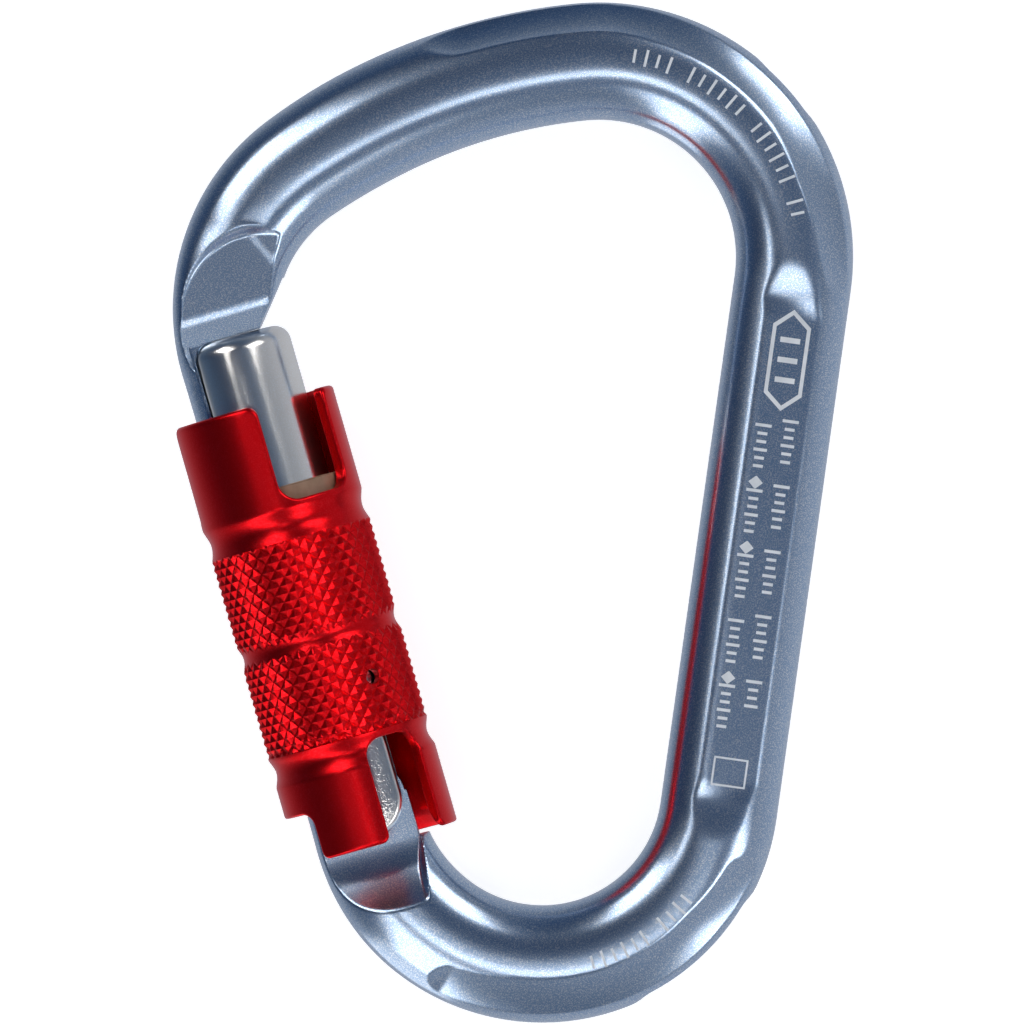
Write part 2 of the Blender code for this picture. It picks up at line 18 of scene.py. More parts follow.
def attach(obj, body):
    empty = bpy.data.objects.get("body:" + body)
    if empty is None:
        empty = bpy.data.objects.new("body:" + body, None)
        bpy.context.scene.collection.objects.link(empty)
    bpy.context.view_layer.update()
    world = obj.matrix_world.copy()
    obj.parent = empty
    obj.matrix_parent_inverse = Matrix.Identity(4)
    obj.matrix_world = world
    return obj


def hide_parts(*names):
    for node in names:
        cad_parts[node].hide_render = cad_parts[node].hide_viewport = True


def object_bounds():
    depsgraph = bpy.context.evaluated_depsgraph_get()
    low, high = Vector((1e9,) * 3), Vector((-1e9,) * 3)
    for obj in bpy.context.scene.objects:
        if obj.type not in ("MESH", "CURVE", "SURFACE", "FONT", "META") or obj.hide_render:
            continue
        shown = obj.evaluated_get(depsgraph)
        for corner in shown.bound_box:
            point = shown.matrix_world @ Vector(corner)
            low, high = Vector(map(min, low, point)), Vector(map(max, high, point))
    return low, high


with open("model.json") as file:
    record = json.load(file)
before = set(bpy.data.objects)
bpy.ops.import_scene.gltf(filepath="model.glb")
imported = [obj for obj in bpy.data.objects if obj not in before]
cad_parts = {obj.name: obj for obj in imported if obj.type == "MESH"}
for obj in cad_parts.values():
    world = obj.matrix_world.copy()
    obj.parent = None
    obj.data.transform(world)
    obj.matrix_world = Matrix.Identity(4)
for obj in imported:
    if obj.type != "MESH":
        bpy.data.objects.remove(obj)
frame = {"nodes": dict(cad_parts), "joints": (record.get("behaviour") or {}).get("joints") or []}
CAD_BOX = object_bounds()
MM = 0.001
JOINTS = {joint["name"]: joint for joint in frame["joints"]}

# Bar of the body
HALF_WIDTH = 6.45 * MM
HALF_THICK = 5.3 * MM
SQUARENESS = 2.5
HALF_SIDES = 92
STATION_GAP = 0.45 * MM
FINE_STATION_GAP = 0.2 * MM
SPINE_X = 30.3 * MM
TOP_RADIUS = 21.5 * MM
TOP_CENTRE_Y = 28.3 * MM
ROOF_RADIUS = 64.0 * MM
NOSE_BEND_RADIUS = 19.8 * MM
NOSE_BEND_HEIGHT = 50.2 * MM
NOSE_LINE_OFFSET = -0.9 * MM
NOSE_SCALE = 0.86
NOSE_SQUARENESS = 3.8
NOSE_SQUARE_START = 20 * MM
NOSE_SQUARE_END = 4 * MM
NOSE_SQUARE_LEADS = (8 * MM, 5 * MM)
NOSE_EASE = 40 * MM
BASE_RADIUS = 19.6 * MM
BASE_CENTRE_Y = -30.2 * MM
TANG_SCALE = 0.955
TANG_EASE = 16 * MM
TANG_FINE_TURN = 60.0

# Gate line: its origin is the hinge axis, "inside" points into the carabiner, "up" to the nose
PIVOT = Vector(JOINTS["gate_swing"]["pos_m"])
UP = Vector(JOINTS["sleeve_lift"]["axis"]).normalized()
INSIDE = Vector((UP.y, -UP.x, 0.0))
FRONT = Vector((0.0, 0.0, 1.0))

# Flats and seats on the body. A level is a height over the middle plane, a wall is how steeply a
# pocket rises outside its edge, and a blend is how widely a flat is rounded into the bar.
PANEL = {"x": 30.8 * MM, "low": -27.0 * MM, "high": 24.5 * MM, "level": 4.95 * MM, "slope": 0.064,
         "end_fade": 2 * MM, "end_curve": 85.0 * MM, "blend": 0.15 * MM}
NOSE_STEP = 55.4 * MM
NOSE_DISC = {"inside": 4.0 * MM, "up": 54.5 * MM, "radius": 8.85 * MM, "level": 3.82 * MM,
             "slope": 0.008, "wall": 1.4, "blend": 0.12 * MM}
NOSE_SHOULDER = {"inside": 6.3 * MM, "up": 58.8 * MM, "slant": 0.45, "curve": 22.0 * MM}
NOSE_SLAB = {"low": 51.5 * MM, "level": 3.775 * MM, "slope": 0.025, "lip_width": 1.0 * MM,
             "lip_slope": 0.045, "wall": 1.6, "blend": 0.02 * MM}
NOSE_END = 44.6 * MM
NOSE_UNDERSIDE = 53.3 * MM
NOSE_LIP = 0.16 * MM
NOSE_LIP_HALF = 2.5 * MM
SEAT_LOW = 44 * MM
LIP_LOW = 50 * MM
CHIN_PLACE = (3.6 * MM, 0.0, 53.7 * MM)
CHIN_TURN = -50.0
CHIN_SIZE = (5.4 * MM, 6 * MM)
CHIN_LEAD = 2 * MM
TANG_LEVEL = 2.6 * MM
TANG_STEP = -5.2 * MM
TANG_SCOOP = {"radius": 11.0 * MM, "edge_slant": 0.3, "wall": 2.2, "edge_blend": 0.5 * MM,
              "blend": 0.2 * MM}
TANG_RADIUS = 4.45 * MM
TANG_INSIDE = 4.7 * MM
TANG_CAM = 4.4 * MM
TANG_TOP = 8 * MM
RIVET_BORE = 1.6 * MM
GAP = 0.3 * MM
REACH = 20 * MM
# The slab and the tang's flat reach only this far: inwards, down from the nose, up from the tang
GATE_SIDE_DEPTH = 14 * MM
NOSE_REGION_LOW = 40 * MM
TANG_REGION_TOP = 20 * MM

# Flutes pressed into the shoulders of the bends: places on the bar (mm), and at each place the
# flute's inner and outer edge across the bar and its radius (mm)
FLUTE_CLEAR = 1.75 * MM
TRIM_LEAD = 2.0 * MM
FLUTES = (
    {"places": ((0.4, -47.0), (11.4, -49.8), (27.0, -41.0), (29.3, -34.7), (30.3, -30.5)),
     "inner": (3.0, 1.5, 1.5, 2.5, 4.8), "outer": (5.9, 5.4, 5.4, 5.7, 6.2),
     "radius": (14, 16, 16, 16, 16), "leads": (4.5 * MM, 5 * MM),
     "trim": ((20.7, -47.2), (29.3, -36.2)), "trim_depth": 0.45 * MM},
    {"places": ((30.3, 25.0), (30.1, 31.3), (27.8, 38.3), (24.0, 43.5), (19.5, 47.0), (11.8, 49.6),
                (6.9, 49.7), (-9.0, 44.9), (-16.0, 41.0)),
     "inner": (4.8, 2.5, 1.8, 2.2, 2.3, 2.7, 3.1, 3.2, 4.6),
     "outer": (6.2, 5.7, 5.5, 5.5, 5.6, 6.0, 6.2, 6.2, 6.3),
     "radius": (16, 20, 20, 20, 16, 12, 9, 8, 8), "leads": (4 * MM, 10 * MM),
     "trim": ((25.5, 41.8), (19.5, 47.0)), "trim_depth": 0.25 * MM},
)

# Etched marks, standing just proud of the body. Places and sizes in mm, angles in degrees
ETCH_HEIGHT = 0.02 * MM
ETCH_DEPTH = 0.08 * MM
MARK_STEP = 0.4 * MM
MARK_LINE = 30.8
SCALES = ({"x": 29.2, "low": -22.0, "high": 12.4}, {"x": 32.1, "low": -19.0, "high": 13.2})
SCALE_GAP = 0.9
SCALE_LENGTHS = (1.8, 1.1, 1.1, 1.5, 1.1, 1.1, 0.0, 0.0)
SCALE_WIDTH = 0.34
DIAMOND_HEIGHTS = (6.1, -1.1, -15.5)
DIAMOND = {"length": 0.7, "width": 1.6, "tip": 0.1}
HEXAGON = {"y": 19.8, "half_x": 2.1, "half_y": 5.6, "width": 0.42, "shoulder": 0.68}
HEXAGON_BARS = {"gap": 2.2, "length": 2.2, "width": 0.6}
RECTANGLE = {"y": -25.8, "half_x": 1.8, "half_y": 1.5, "lengths": (3.8, 2.8), "width": 0.22}
BEND_TICKS = ({"centre": (SPINE_X - TOP_RADIUS, TOP_CENTRE_Y), "radius": TOP_RADIUS + 0.7 * MM,
               "angles": (88.0, 18.0, -3.4)},
              {"centre": (SPINE_X - BASE_RADIUS, BASE_CENTRE_Y), "radius": BASE_RADIUS + 0.4 * MM,
               "angles": (-30.0, -68.0, -3.6)})
BEND_TICK = {"lengths": (1.5, 1.9), "width": 0.3, "group": 7, "skipped": 4}

# Gate bar
GATE_RADIUS = 6.1 * MM
GATE_TOP = 53.0 * MM
GATE_LOW = 8.6 * MM
GATE_FLAT = 4.65 * MM
GATE_FLAT_LOW = 44.5 * MM
GATE_FLAT_LEAD = 0.3 * MM
GATE_FLAT_BLEND = 0.9 * MM
GATE_CORNER = 1.8 * MM
GATE_SIDES = 160
FORK_HALF_WIDTH = 4.05 * MM
FORK_HALF_THICK = 4.6 * MM
FORK_ROUND = 0.6 * MM
FORK_SLOT_HALF = 2.9 * MM
FORK_SLOT_TOP = 7.0 * MM
FORK_OVERLAP = 2 * MM
SPRING_BORE = 2.2 * MM
SPRING_BORE_TOP = 30 * MM
PIN_BORE = 1.05 * MM
PIN_BORE_START = 2.9 * MM
KEY_NECK_HALF = 1.2 * MM
KEY_HEAD_HALF = 1.9 * MM
KEY_OUTER = 5.9 * MM
KEY_INNER = 2.4 * MM
KEY_HEAD_OUTER = 5.2 * MM
KEY_HEAD_SPAN = (37.6 * MM, 40.4 * MM)
KEY_STAGGER = 0.05 * MM
SLOT_ROOM_LOW = 0.7 * MM
SLOT_ROOM_TOP = 0.4 * MM

# Sleeve
SLEEVE_RADIUS = 9.08 * MM
SLEEVE_BORE = 7.8 * MM
SLEEVE_TOP = 45.0 * MM
SLEEVE_LOW = -4.9 * MM
BORE_FLARE = 0.7 * MM
BORE_FLARE_HEIGHT = 2.0 * MM
GROOVE_DEPTH = 0.46 * MM
GROOVES = ((29.5 * MM, 33.3 * MM), (16.9 * MM, 20.2 * MM), (3.9 * MM, 7.2 * MM))
GROOVE_SHAPE = 1.3
# Open notches: azimuths in degrees, the height of each notch's end and its corners' radii
TOP_NOTCHES = (
    {"span": (-137.0, -82.0), "level": 33.9 * MM, "root": 1.5 * MM, "lips": (1.3 * MM, 1.3 * MM)},
    {"span": (3.0, 60.5), "level": 33.9 * MM, "root": 2.2 * MM, "lips": (1.3 * MM, 0.8 * MM)},
)
LOW_NOTCHES = (
    {"span": (-138.0, -42.0), "level": 0.4 * MM, "root": 1.5 * MM, "lips": (0.9 * MM, 0.9 * MM)},
    {"span": (10.5, 54.5), "level": 6.4 * MM, "root": 2.2 * MM, "lips": (0.9 * MM, 0.9 * MM)},
)
# Cut edges: the round on the outside of a notch and what the rim adds, and the bore's round
NOTCH_FILLET = 0.28 * MM
RIM_EXTRA = 0.2 * MM
RIM_LEAD = 2 * MM
LOW_FILLET = 0.3 * MM
BORE_FILLET = 0.15 * MM
# Mesh of the wall: how much a notch's upright side counts against its level run when columns are
# spread, on the outline and on the next ring, and the rows above and below the knurl
OUTLINE_STEP = 0.05 * MM
SIDE_SHARE = 0.55
RING_SIDE_SHARE = 0.10
PLAIN_ROW_GAP = 0.15 * MM
KNURL_MARGIN = 0.3 * MM
RING_DRIFT = 1.2 * MM
KNURL_TEETH = 33
KNURL_PITCH = 1.8 * MM
KNURL_DEPTH = 0.42 * MM
KNURL_PROUD = 0.02 * MM
CELLS_PER_TOOTH = 16
COLUMNS = KNURL_TEETH * CELLS_PER_TOOTH
PIN_HEIGHT = 13.0 * MM
PIN_AZIMUTH = 32.0
ASSEMBLY_HOLE = 0.85 * MM
HOLE_START = 6.4 * MM

# Haze of the blasted metals: a second, rougher reflection and its share
HAZE = 0.14
LEAST_HAZE = 0.29
HAZE_SHARE = 0.30

# Stage and camera
FLOOR_GAP = 0.15 * MM
FLOOR_HALF = 1.6
FLOOR_GLOW = 0.72
VIEW_WIDTH = 112.64 * MM
VIEW_CENTRE = (3.23 * MM, -0.85 * MM)
VIEW_TURN = 8.0
LENS = 400.0
SENSOR_WIDTH = 36.0

# The room's light from its dark side (0) to its light side (1), and the way to its light side
ROOM = ((0.0, (0.012, 0.026, 0.06)), (0.16, (0.045, 0.08, 0.145)), (0.35, (0.15, 0.18, 0.23)),
        (0.6, (0.35, 0.38, 0.44)), (1.0, (0.46, 0.49, 0.55)))
ROOM_WAY = (0.50, -0.23, -0.66)
ROOM_SPAN = 0.8

# Soft boxes: azimuth in the carabiner's plane, tilt from overhead, distance, size and radiance
SOFTBOXES = (
    ("box_upper_right", 55, 45, 0.5, (0.18, 0.29), 2.8),
    ("box_upper_left", 145, 46, 0.5, (0.19, 0.31), 2.8),
    ("box_lower_left", 247, 46, 0.5, (0.14, 0.45), 2.3),
    ("box_low_left", 245, 100, 0.5, (0.20, 0.60), 0.9),
    ("box_lower_right", 332, 38, 0.5, (0.19, 0.19), 2.6),
    ("box_left", 176, 25, 0.5, (0.10, 0.050), 3.0),
    ("overhead_near", 268, 8.0, 3.0, (0.66, 0.17), 6.0),
)


# ---------------- small helpers

def to_world(inside, up, front=0.0):
    """World place of a point given in the gate's frame."""
    return PIVOT + INSIDE * inside + UP * up + FRONT * front


def gate_frame():
    """Matrix from gate-frame coordinates (inside, front, up) to the world."""
    columns = Matrix((INSIDE, FRONT, UP)).transposed().to_4x4()
    return Matrix.Translation(PIVOT) @ columns


def eased(share):
    share = np.clip(share, 0.0, 1.0)
    return share * share * (3 - 2 * share)


def soft_min(a, b, blend):
    """The lower of two heights, rounded where they meet."""
    near = np.clip(1 - np.abs(a - b) / blend, 0.0, 1.0)
    return np.minimum(a, b) - near * near * blend / 4


def mesh_piece(name, points, faces):
    data = bpy.data.meshes.new(name)
    data.from_pydata([tuple(point) for point in points], [], faces)
    data.validate()
    thing = bpy.data.objects.new(name, data)
    bpy.context.scene.collection.objects.link(thing)
    return thing


def grid_faces(rows, columns, close_rows=False):
    """Quads of a grid whose columns always close on themselves."""
    faces = []
    last = rows if close_rows else rows - 1
    for row in range(last):
        here = row * columns
        there = (row + 1) % rows * columns
        for column in range(columns):
            after = (column + 1) % columns
            faces.append((here + column, here + after, there + after, there + column))
    return faces


def outward_faces(thing):
    shape = bmesh.new()
    shape.from_mesh(thing.data)
    bmesh.ops.recalc_face_normals(shape, faces=shape.faces)
    shape.to_mesh(thing.data)
    shape.free()


def box_tool(name, low, high, turn=0.0, place=(0.0, 0.0, 0.0)):
    """A cutter box in the gate's frame (inside, front, up), turned about the front direction."""
    low, high = Vector(low), Vector(high)
    shape = bmesh.new()
    size = Matrix.Translation((low + high) / 2) @ Matrix.Diagonal((*(high - low), 1.0))
    bmesh.ops.create_cube(shape, size=1.0, matrix=size)
    spin = Matrix.Translation(place) @ Matrix.Rotation(turn, 4, "Y")
    bmesh.ops.transform(shape, matrix=gate_frame() @ spin, verts=shape.verts)
    return tool_from(name, shape)


def round_tool(name, radius, start, end, sides=64):
    """A cutter cylinder between two points of the gate's frame."""
    start, end = Vector(start), Vector(end)
    turn = (end - start).to_track_quat("Z", "Y").to_matrix().to_4x4()
    shape = bmesh.new()
    bmesh.ops.create_cone(shape, cap_ends=True, segments=sides, radius1=radius, radius2=radius,
                          depth=(end - start).length,
                          matrix=gate_frame() @ Matrix.Translation((start + end) / 2) @ turn)
    return tool_from(name, shape)


def tool_from(name, shape):
    bmesh.ops.recalc_face_normals(shape, faces=shape.faces)
    data = bpy.data.meshes.new(name)
    shape.to_mesh(data)
    shape.free()
    tool = bpy.data.objects.new(name, data)
    bpy.context.scene.collection.objects.link(tool)
    return tool


def apply_tools(thing, cuts=(), unions=()):
    """Join and cut with closed tools, keep the result as the mesh and remove the tools."""
    for tool, operation in [(t, "UNION") for t in unions] + [(t, "DIFFERENCE") for t in cuts]:
        step = thing.modifiers.new(tool.name, "BOOLEAN")
        step.object = tool
        step.operation = operation
        step.solver = "MANIFOLD"
    view = bpy.context.evaluated_depsgraph_get()
    made = bpy.data.meshes.new_from_object(thing.evaluated_get(view))
    thing.modifiers.clear()
    thing.data = made
    for tool in (*cuts, *unions):
        bpy.data.objects.remove(tool, do_unlink=True)


def finish_piece(thing, body, slot, finish, *nodes, crease=35.0):
    """Shade, paint and hang a piece on its body, in place of its CAD nodes."""
    thing.data.shade_smooth()
    thing.data.set_sharp_from_angle(angle=math.radians(crease))
    thing.data.materials.clear()
    thing.data.materials.append(finish)
    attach(thing, body)
    if nodes:
        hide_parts(*nodes)
    return thing


# ---------------- finishes

def new_material(name):
    """An empty material's node tree and its shader."""
    made = bpy.data.materials.new(name)
    made.use_nodes = True
    tree = made.node_tree
    return made, tree, tree.nodes["Principled BSDF"]


def noise(tree, place, scale, detail=2.0, roughness=0.5):
    node = tree.nodes.new("ShaderNodeTexNoise")
    node.inputs["Scale"].default_value = scale
    node.inputs["Detail"].default_value = detail
    node.inputs["Roughness"].default_value = roughness
    tree.links.new(place, node.inputs["Vector"])
    return node.outputs["Fac"]


def ramp(tree, value, low, high, dark, light):
    node = tree.nodes.new("ShaderNodeValToRGB")
    node.color_ramp.elements[0].position = low
    node.color_ramp.elements[1].position = high
    node.color_ramp.elements[0].color = (*dark, 1.0)
    node.color_ramp.elements[1].color = (*light, 1.0)
    tree.links.new(value, node.inputs["Fac"])
    return node.outputs["Color"]


def remap(tree, value, low, high):
    node = tree.nodes.new("ShaderNodeMapRange")
    node.inputs["To Min"].default_value = low
    node.inputs["To Max"].default_value = high
    tree.links.new(value, node.inputs["Value"])
    return node.outputs["Result"]


def bump(tree, value, height, normal=None):
    node = tree.nodes.new("ShaderNodeBump")
    node.inputs["Strength"].default_value = 1.0
    node.inputs["Distance"].default_value = height
    tree.links.new(value, node.inputs["Height"])
    if normal is not None:
        tree.links.new(normal, node.inputs["Normal"])
    return node.outputs["Normal"]


def blasted_metal(name, dark, light, roughness, grain, depth):
    """Bead-blasted metal: fine bright specks, and a haze round a clearer reflection."""
    made, tree, clear = new_material(name)
    place = tree.nodes.new("ShaderNodeTexCoord").outputs["Object"]
    speck = noise(tree, place, grain, 1.0)
    colour = ramp(tree, speck, 0.47, 0.72, dark, light)
    cloud = noise(tree, place, 300.0, 3.0)
    relief = bump(tree, speck, depth)
    hazy = tree.nodes.new("ShaderNodeBsdfPrincipled")
    for shader, gloss in ((clear, roughness), (hazy, max(roughness + HAZE, LEAST_HAZE))):
        shader.inputs["Metallic"].default_value = 1.0
        tree.links.new(colour, shader.inputs["Base Color"])
        tree.links.new(remap(tree, cloud, gloss - 0.01, gloss + 0.01), shader.inputs["Roughness"])
        tree.links.new(relief, shader.inputs["Normal"])
    both = tree.nodes.new("ShaderNodeMixShader")
    both.inputs["Fac"].default_value = HAZE_SHARE
    tree.links.new(clear.outputs["BSDF"], both.inputs[1])
    tree.links.new(hazy.outputs["BSDF"], both.inputs[2])
    tree.links.new(both.outputs["Shader"], tree.nodes["Material Output"].inputs["Surface"])
    return made


def turned_metal(name, dark, light, roughness):
    """Drawn or turned metal of the small pieces, with faint worn streaks."""
    made, tree, shader = new_material(name)
    place = tree.nodes.new("ShaderNodeTexCoord").outputs["Object"]
    streak = noise(tree, place, 1400.0, 3.0, 0.6)
    shader.inputs["Metallic"].default_value = 1.0
    tree.links.new(ramp(tree, streak, 0.35, 0.65, dark, light), shader.inputs["Base Color"])
    tree.links.new(remap(tree, streak, roughness - 0.05, roughness + 0.08), shader.inputs["Roughness"])
    tree.links.new(bump(tree, streak, 0.004 * MM), shader.inputs["Normal"])
    return made


def moulded(name, dark, light, roughness):
    """Moulded polymer: a soft mottle and a fine spark-eroded grain."""
    made, tree, shader = new_material(name)
    place = tree.nodes.new("ShaderNodeTexCoord").outputs["Object"]
    mottle = noise(tree, place, 500.0, 3.0)
    grain = noise(tree, place, 6000.0, 2.0)
    tree.links.new(ramp(tree, mottle, 0.35, 0.65, dark, light), shader.inputs["Base Color"])
    tree.links.new(remap(tree, grain, roughness - 0.05, roughness + 0.1), shader.inputs["Roughness"])
    tree.links.new(bump(tree, grain, 0.012 * MM), shader.inputs["Normal"])
    return made


STEEL_BLUE = blasted_metal("anodised_steel_blue", (0.38, 0.515, 0.70), (0.98, 0.98, 0.97), 0.17,
                           8000.0, 0.006 * MM)
SATIN = blasted_metal("satin_aluminium", (0.96, 0.90, 0.83), (1.0, 1.0, 0.97), 0.09,
                      7500.0, 0.010 * MM)
RED = blasted_metal("anodised_red", (0.86, 0.005, 0.009), (0.99, 0.022, 0.030), 0.26,
                    7000.0, 0.005 * MM)
POLISHED = turned_metal("polished_steel", (0.50, 0.50, 0.52), (0.60, 0.60, 0.62), 0.22)
SPRING = turned_metal("spring_steel", (0.42, 0.42, 0.44), (0.55, 0.55, 0.57), 0.28)
BRASS = turned_metal("brass", (0.55, 0.40, 0.18), (0.68, 0.50, 0.24), 0.28)
BLACK = moulded("black_polymer", (0.02, 0.02, 0.022), (0.035, 0.035, 0.038), 0.45)
ETCHED = moulded("laser_etched_oxide", (0.76, 0.78, 0.79), (0.88, 0.89, 0.89), 0.6)
TAN = moulded("tan_polymer", (0.30, 0.18, 0.105), (0.40, 0.25, 0.155), 0.38)


# ---------------- forged body

def arc_points(centre, radius, start, end, spacing=STATION_GAP):
    count = max(2, int(abs(end - start) * radius / spacing))
    angles = np.linspace(start, end, count + 1)
    directions = np.stack([np.cos(angles), np.sin(angles)], axis=1)
    return np.array(centre[:2]) + radius * directions, directions


def straight_points(start, end, direction, spacing=STATION_GAP):
    count = max(2, int((Vector(end) - Vector(start)).length / spacing))
    shares = np.linspace(0.0, 1.0, count + 1)[:, None]
    places = np.array(start[:2]) * (1 - shares) + np.array(end[:2]) * shares
    return places, np.tile(np.array(direction[:2]), (count + 1, 1))


def heading(start, end):
    return math.atan2(end.y - start.y, end.x - start.x)


def centre_line():
    """The bar's centre line from tang to nose: places, outward directions and run lengths."""
    base = Vector((SPINE_X - BASE_RADIUS, BASE_CENTRE_Y, 0.0))
    top = Vector((SPINE_X - TOP_RADIUS, TOP_CENTRE_Y, 0.0))
    nose = to_world(NOSE_LINE_OFFSET + NOSE_BEND_RADIUS, NOSE_BEND_HEIGHT)
    # The roof's arc touches both bends inside, so its centre is at two known distances.
    to_top = ROOF_RADIUS - TOP_RADIUS
    to_nose = ROOF_RADIUS - NOSE_BEND_RADIUS
    gap = (nose - top).length
    along = (gap ** 2 + to_top ** 2 - to_nose ** 2) / (2 * gap)
    aside = math.sqrt(to_top ** 2 - along ** 2)
    line = (nose - top) / gap
    roof = top + line * along + Vector((-line.y, line.x, 0.0)) * aside
    gate_side = math.atan2(-INSIDE.y, -INSIDE.x) % (2 * math.pi)
    right_end = heading(roof, top)
    left_end = heading(roof, nose)
    tang_far = gate_side + math.radians(TANG_FINE_TURN)
    tang_foot = base - INSIDE * BASE_RADIUS
    tang_end = to_world((tang_foot - PIVOT).dot(INSIDE), 0.0)
    nose_foot = nose - INSIDE * NOSE_BEND_RADIUS
    nose_end = to_world(NOSE_LINE_OFFSET, NOSE_END)
    stretches = [
        straight_points(tang_end, tang_foot, -INSIDE, FINE_STATION_GAP),
        arc_points(base, BASE_RADIUS, gate_side, tang_far, FINE_STATION_GAP),
        arc_points(base, BASE_RADIUS, tang_far, 2 * math.pi),
        straight_points((SPINE_X, BASE_CENTRE_Y), (SPINE_X, TOP_CENTRE_Y), (1.0, 0.0)),
        arc_points(top, TOP_RADIUS, 0.0, right_end),
        arc_points(roof, ROOF_RADIUS, right_end, left_end),
        arc_points(nose, NOSE_BEND_RADIUS, left_end, gate_side, FINE_STATION_GAP),
        straight_points(nose_foot, nose_end, -INSIDE, FINE_STATION_GAP),
    ]
    places = [stretches[0][0]] + [stretch[0][1:] for stretch in stretches[1:]]
    outward = [stretches[0][1]] + [stretch[1][1:] for stretch in stretches[1:]]
    places, outward = np.concatenate(places), np.concatenate(outward)
    steps = np.linalg.norm(np.diff(places, axis=0), axis=1)
    return places, outward, np.concatenate([[0.0], np.cumsum(steps)])


def run_at(places, runs, point):
    """Run length of the station nearest to a point of the XY plane."""
    return runs[np.argmin(np.linalg.norm(places - np.array(point), axis=1))]


def flute_clearance(runs, start, end, start_lead, end_lead):
    """How far the flute's round cutter stands off along the bar: 0 at full depth."""
    into = eased((runs - start) / start_lead)
    out = eased((end - runs) / end_lead)
    return FLUTE_CLEAR * (1 - np.minimum(into, out))


def section_height(across):
    return HALF_THICK * (1 - (across / HALF_WIDTH) ** SQUARENESS) ** (1 / SQUARENESS)


def press_flute(across, up, clearance, inner, outer, radius):
    """Press a section's points out of a round cutter set between two points of the section."""
    inner_up, outer_up = section_height(inner), section_height(outer)
    length = np.hypot(outer - inner, outer_up - inner_up)
    normal_across, normal_up = (inner_up - outer_up) / length, (outer - inner) / length
    stand_off = np.sqrt(radius ** 2 - length ** 2 / 4) + clearance
    from_across = across - (inner + outer) / 2 - normal_across * stand_off
    from_up = up - (inner_up + outer_up) / 2 - normal_up * stand_off
    push = np.maximum(radius / np.hypot(from_across, from_up), 1.0)
    return across + from_across * (push - 1), up + from_up * (push - 1)


def pressed_flutes(places, runs, across, height):
    """The shoulder flutes of the top and base bends, and the outer edge trimmed beside them."""
    for flute in FLUTES:
        at = [run_at(places, runs, (x * MM, y * MM)) for x, y in flute["places"]]
        values = [np.interp(runs, at, np.array(flute[key]) * MM)[:, None]
                  for key in ("inner", "outer", "radius")]
        start_lead, end_lead = flute["leads"]
        clearance = flute_clearance(runs, at[0], at[-1], start_lead, end_lead)[:, None]
        across, height = press_flute(across, height, clearance, *values)
        low, high = (run_at(places, runs, (x * MM, y * MM)) for x, y in flute["trim"])
        near = np.minimum(eased((runs - low) / TRIM_LEAD), eased((high - runs) / TRIM_LEAD))
        limit = HALF_WIDTH - flute["trim_depth"] * near[:, None]
        across = np.where(near[:, None] > 0, np.minimum(across, limit), across)
    return across, np.maximum(height, 0.0)


def pocket(distance, level, wall):
    """Height of a flat-bottomed pocket whose wall slopes up outside its edge."""
    return level + np.maximum(distance, 0.0) * wall


def panel_height(x, y):
    """The spine's panel: a plane tilted across the bar that runs out in a curve at both ends."""
    beyond = np.maximum(np.maximum(PANEL["low"] - y, y - PANEL["high"]), 0.0)
    slope = PANEL["slope"] * (1 - np.clip(beyond / PANEL["end_fade"], 0.0, 1.0))
    return PANEL["level"] - (x - PANEL["x"]) * slope + beyond ** 2 / PANEL["end_curve"]


def cheek_height(inside, up):
    """The nose's round cheek, curved up a little at its inner shoulder."""
    disc, shoulder = NOSE_DISC, NOSE_SHOULDER
    from_disc = np.hypot(inside - disc["inside"], up - disc["up"]) - disc["radius"]
    edge = shoulder["inside"] - np.maximum(up - shoulder["up"], 0.0) * shoulder["slant"]
    level = (disc["level"] + (up - NOSE_STEP) * disc["slope"]
             + np.maximum(inside - edge, 0.0) ** 2 / shoulder["curve"])
    return pocket(from_disc, level, disc["wall"])


def slab_height(up):
    """The slab below the nose's step, with a sloping lip up to the cheek."""
    slab = NOSE_SLAB
    beyond = np.maximum(up - NOSE_STEP, slab["low"] - up)
    lip = np.clip(beyond, 0.0, slab["lip_width"]) * slab["lip_slope"]
    level = slab["level"] + (up - NOSE_STEP) * slab["slope"]
    return pocket(beyond - slab["lip_width"], level + lip, slab["wall"])


def tang_height(inside, up):
    """The tang's flat, which a round scoop joins to the bar below it."""
    scoop, radius = TANG_SCOOP, TANG_SCOOP["radius"]
    below = TANG_STEP - up
    depth = np.clip(below, 0.0, 0.99 * radius)
    round_end = TANG_LEVEL + radius - np.sqrt(radius ** 2 - depth ** 2)
    inner_edge = TANG_INSIDE - np.maximum(below, 0.0) * scoop["edge_slant"]
    side = pocket(inside - inner_edge, TANG_LEVEL, scoop["wall"])
    return -soft_min(-round_end, -side, scoop["edge_blend"])


def press_flats(x, y, height):
    """Lower the body's surface height to its panel, nose and tang flats."""
    inside = (x - PIVOT.x) * INSIDE.x + (y - PIVOT.y) * INSIDE.y
    up = (x - PIVOT.x) * UP.x + (y - PIVOT.y) * UP.y
    at_gate = inside < GATE_SIDE_DEPTH
    at_nose = at_gate & (up > NOSE_REGION_LOW)
    at_tang = at_gate & (up < TANG_REGION_TOP)
    height = soft_min(height, panel_height(x, y), PANEL["blend"])
    height = soft_min(height, cheek_height(inside, up), NOSE_DISC["blend"])
    height = soft_min(height, np.where(at_nose, slab_height(up), REACH), NOSE_SLAB["blend"])
    return soft_min(height, np.where(at_tang, tang_height(inside, up), REACH), TANG_SCOOP["blend"])


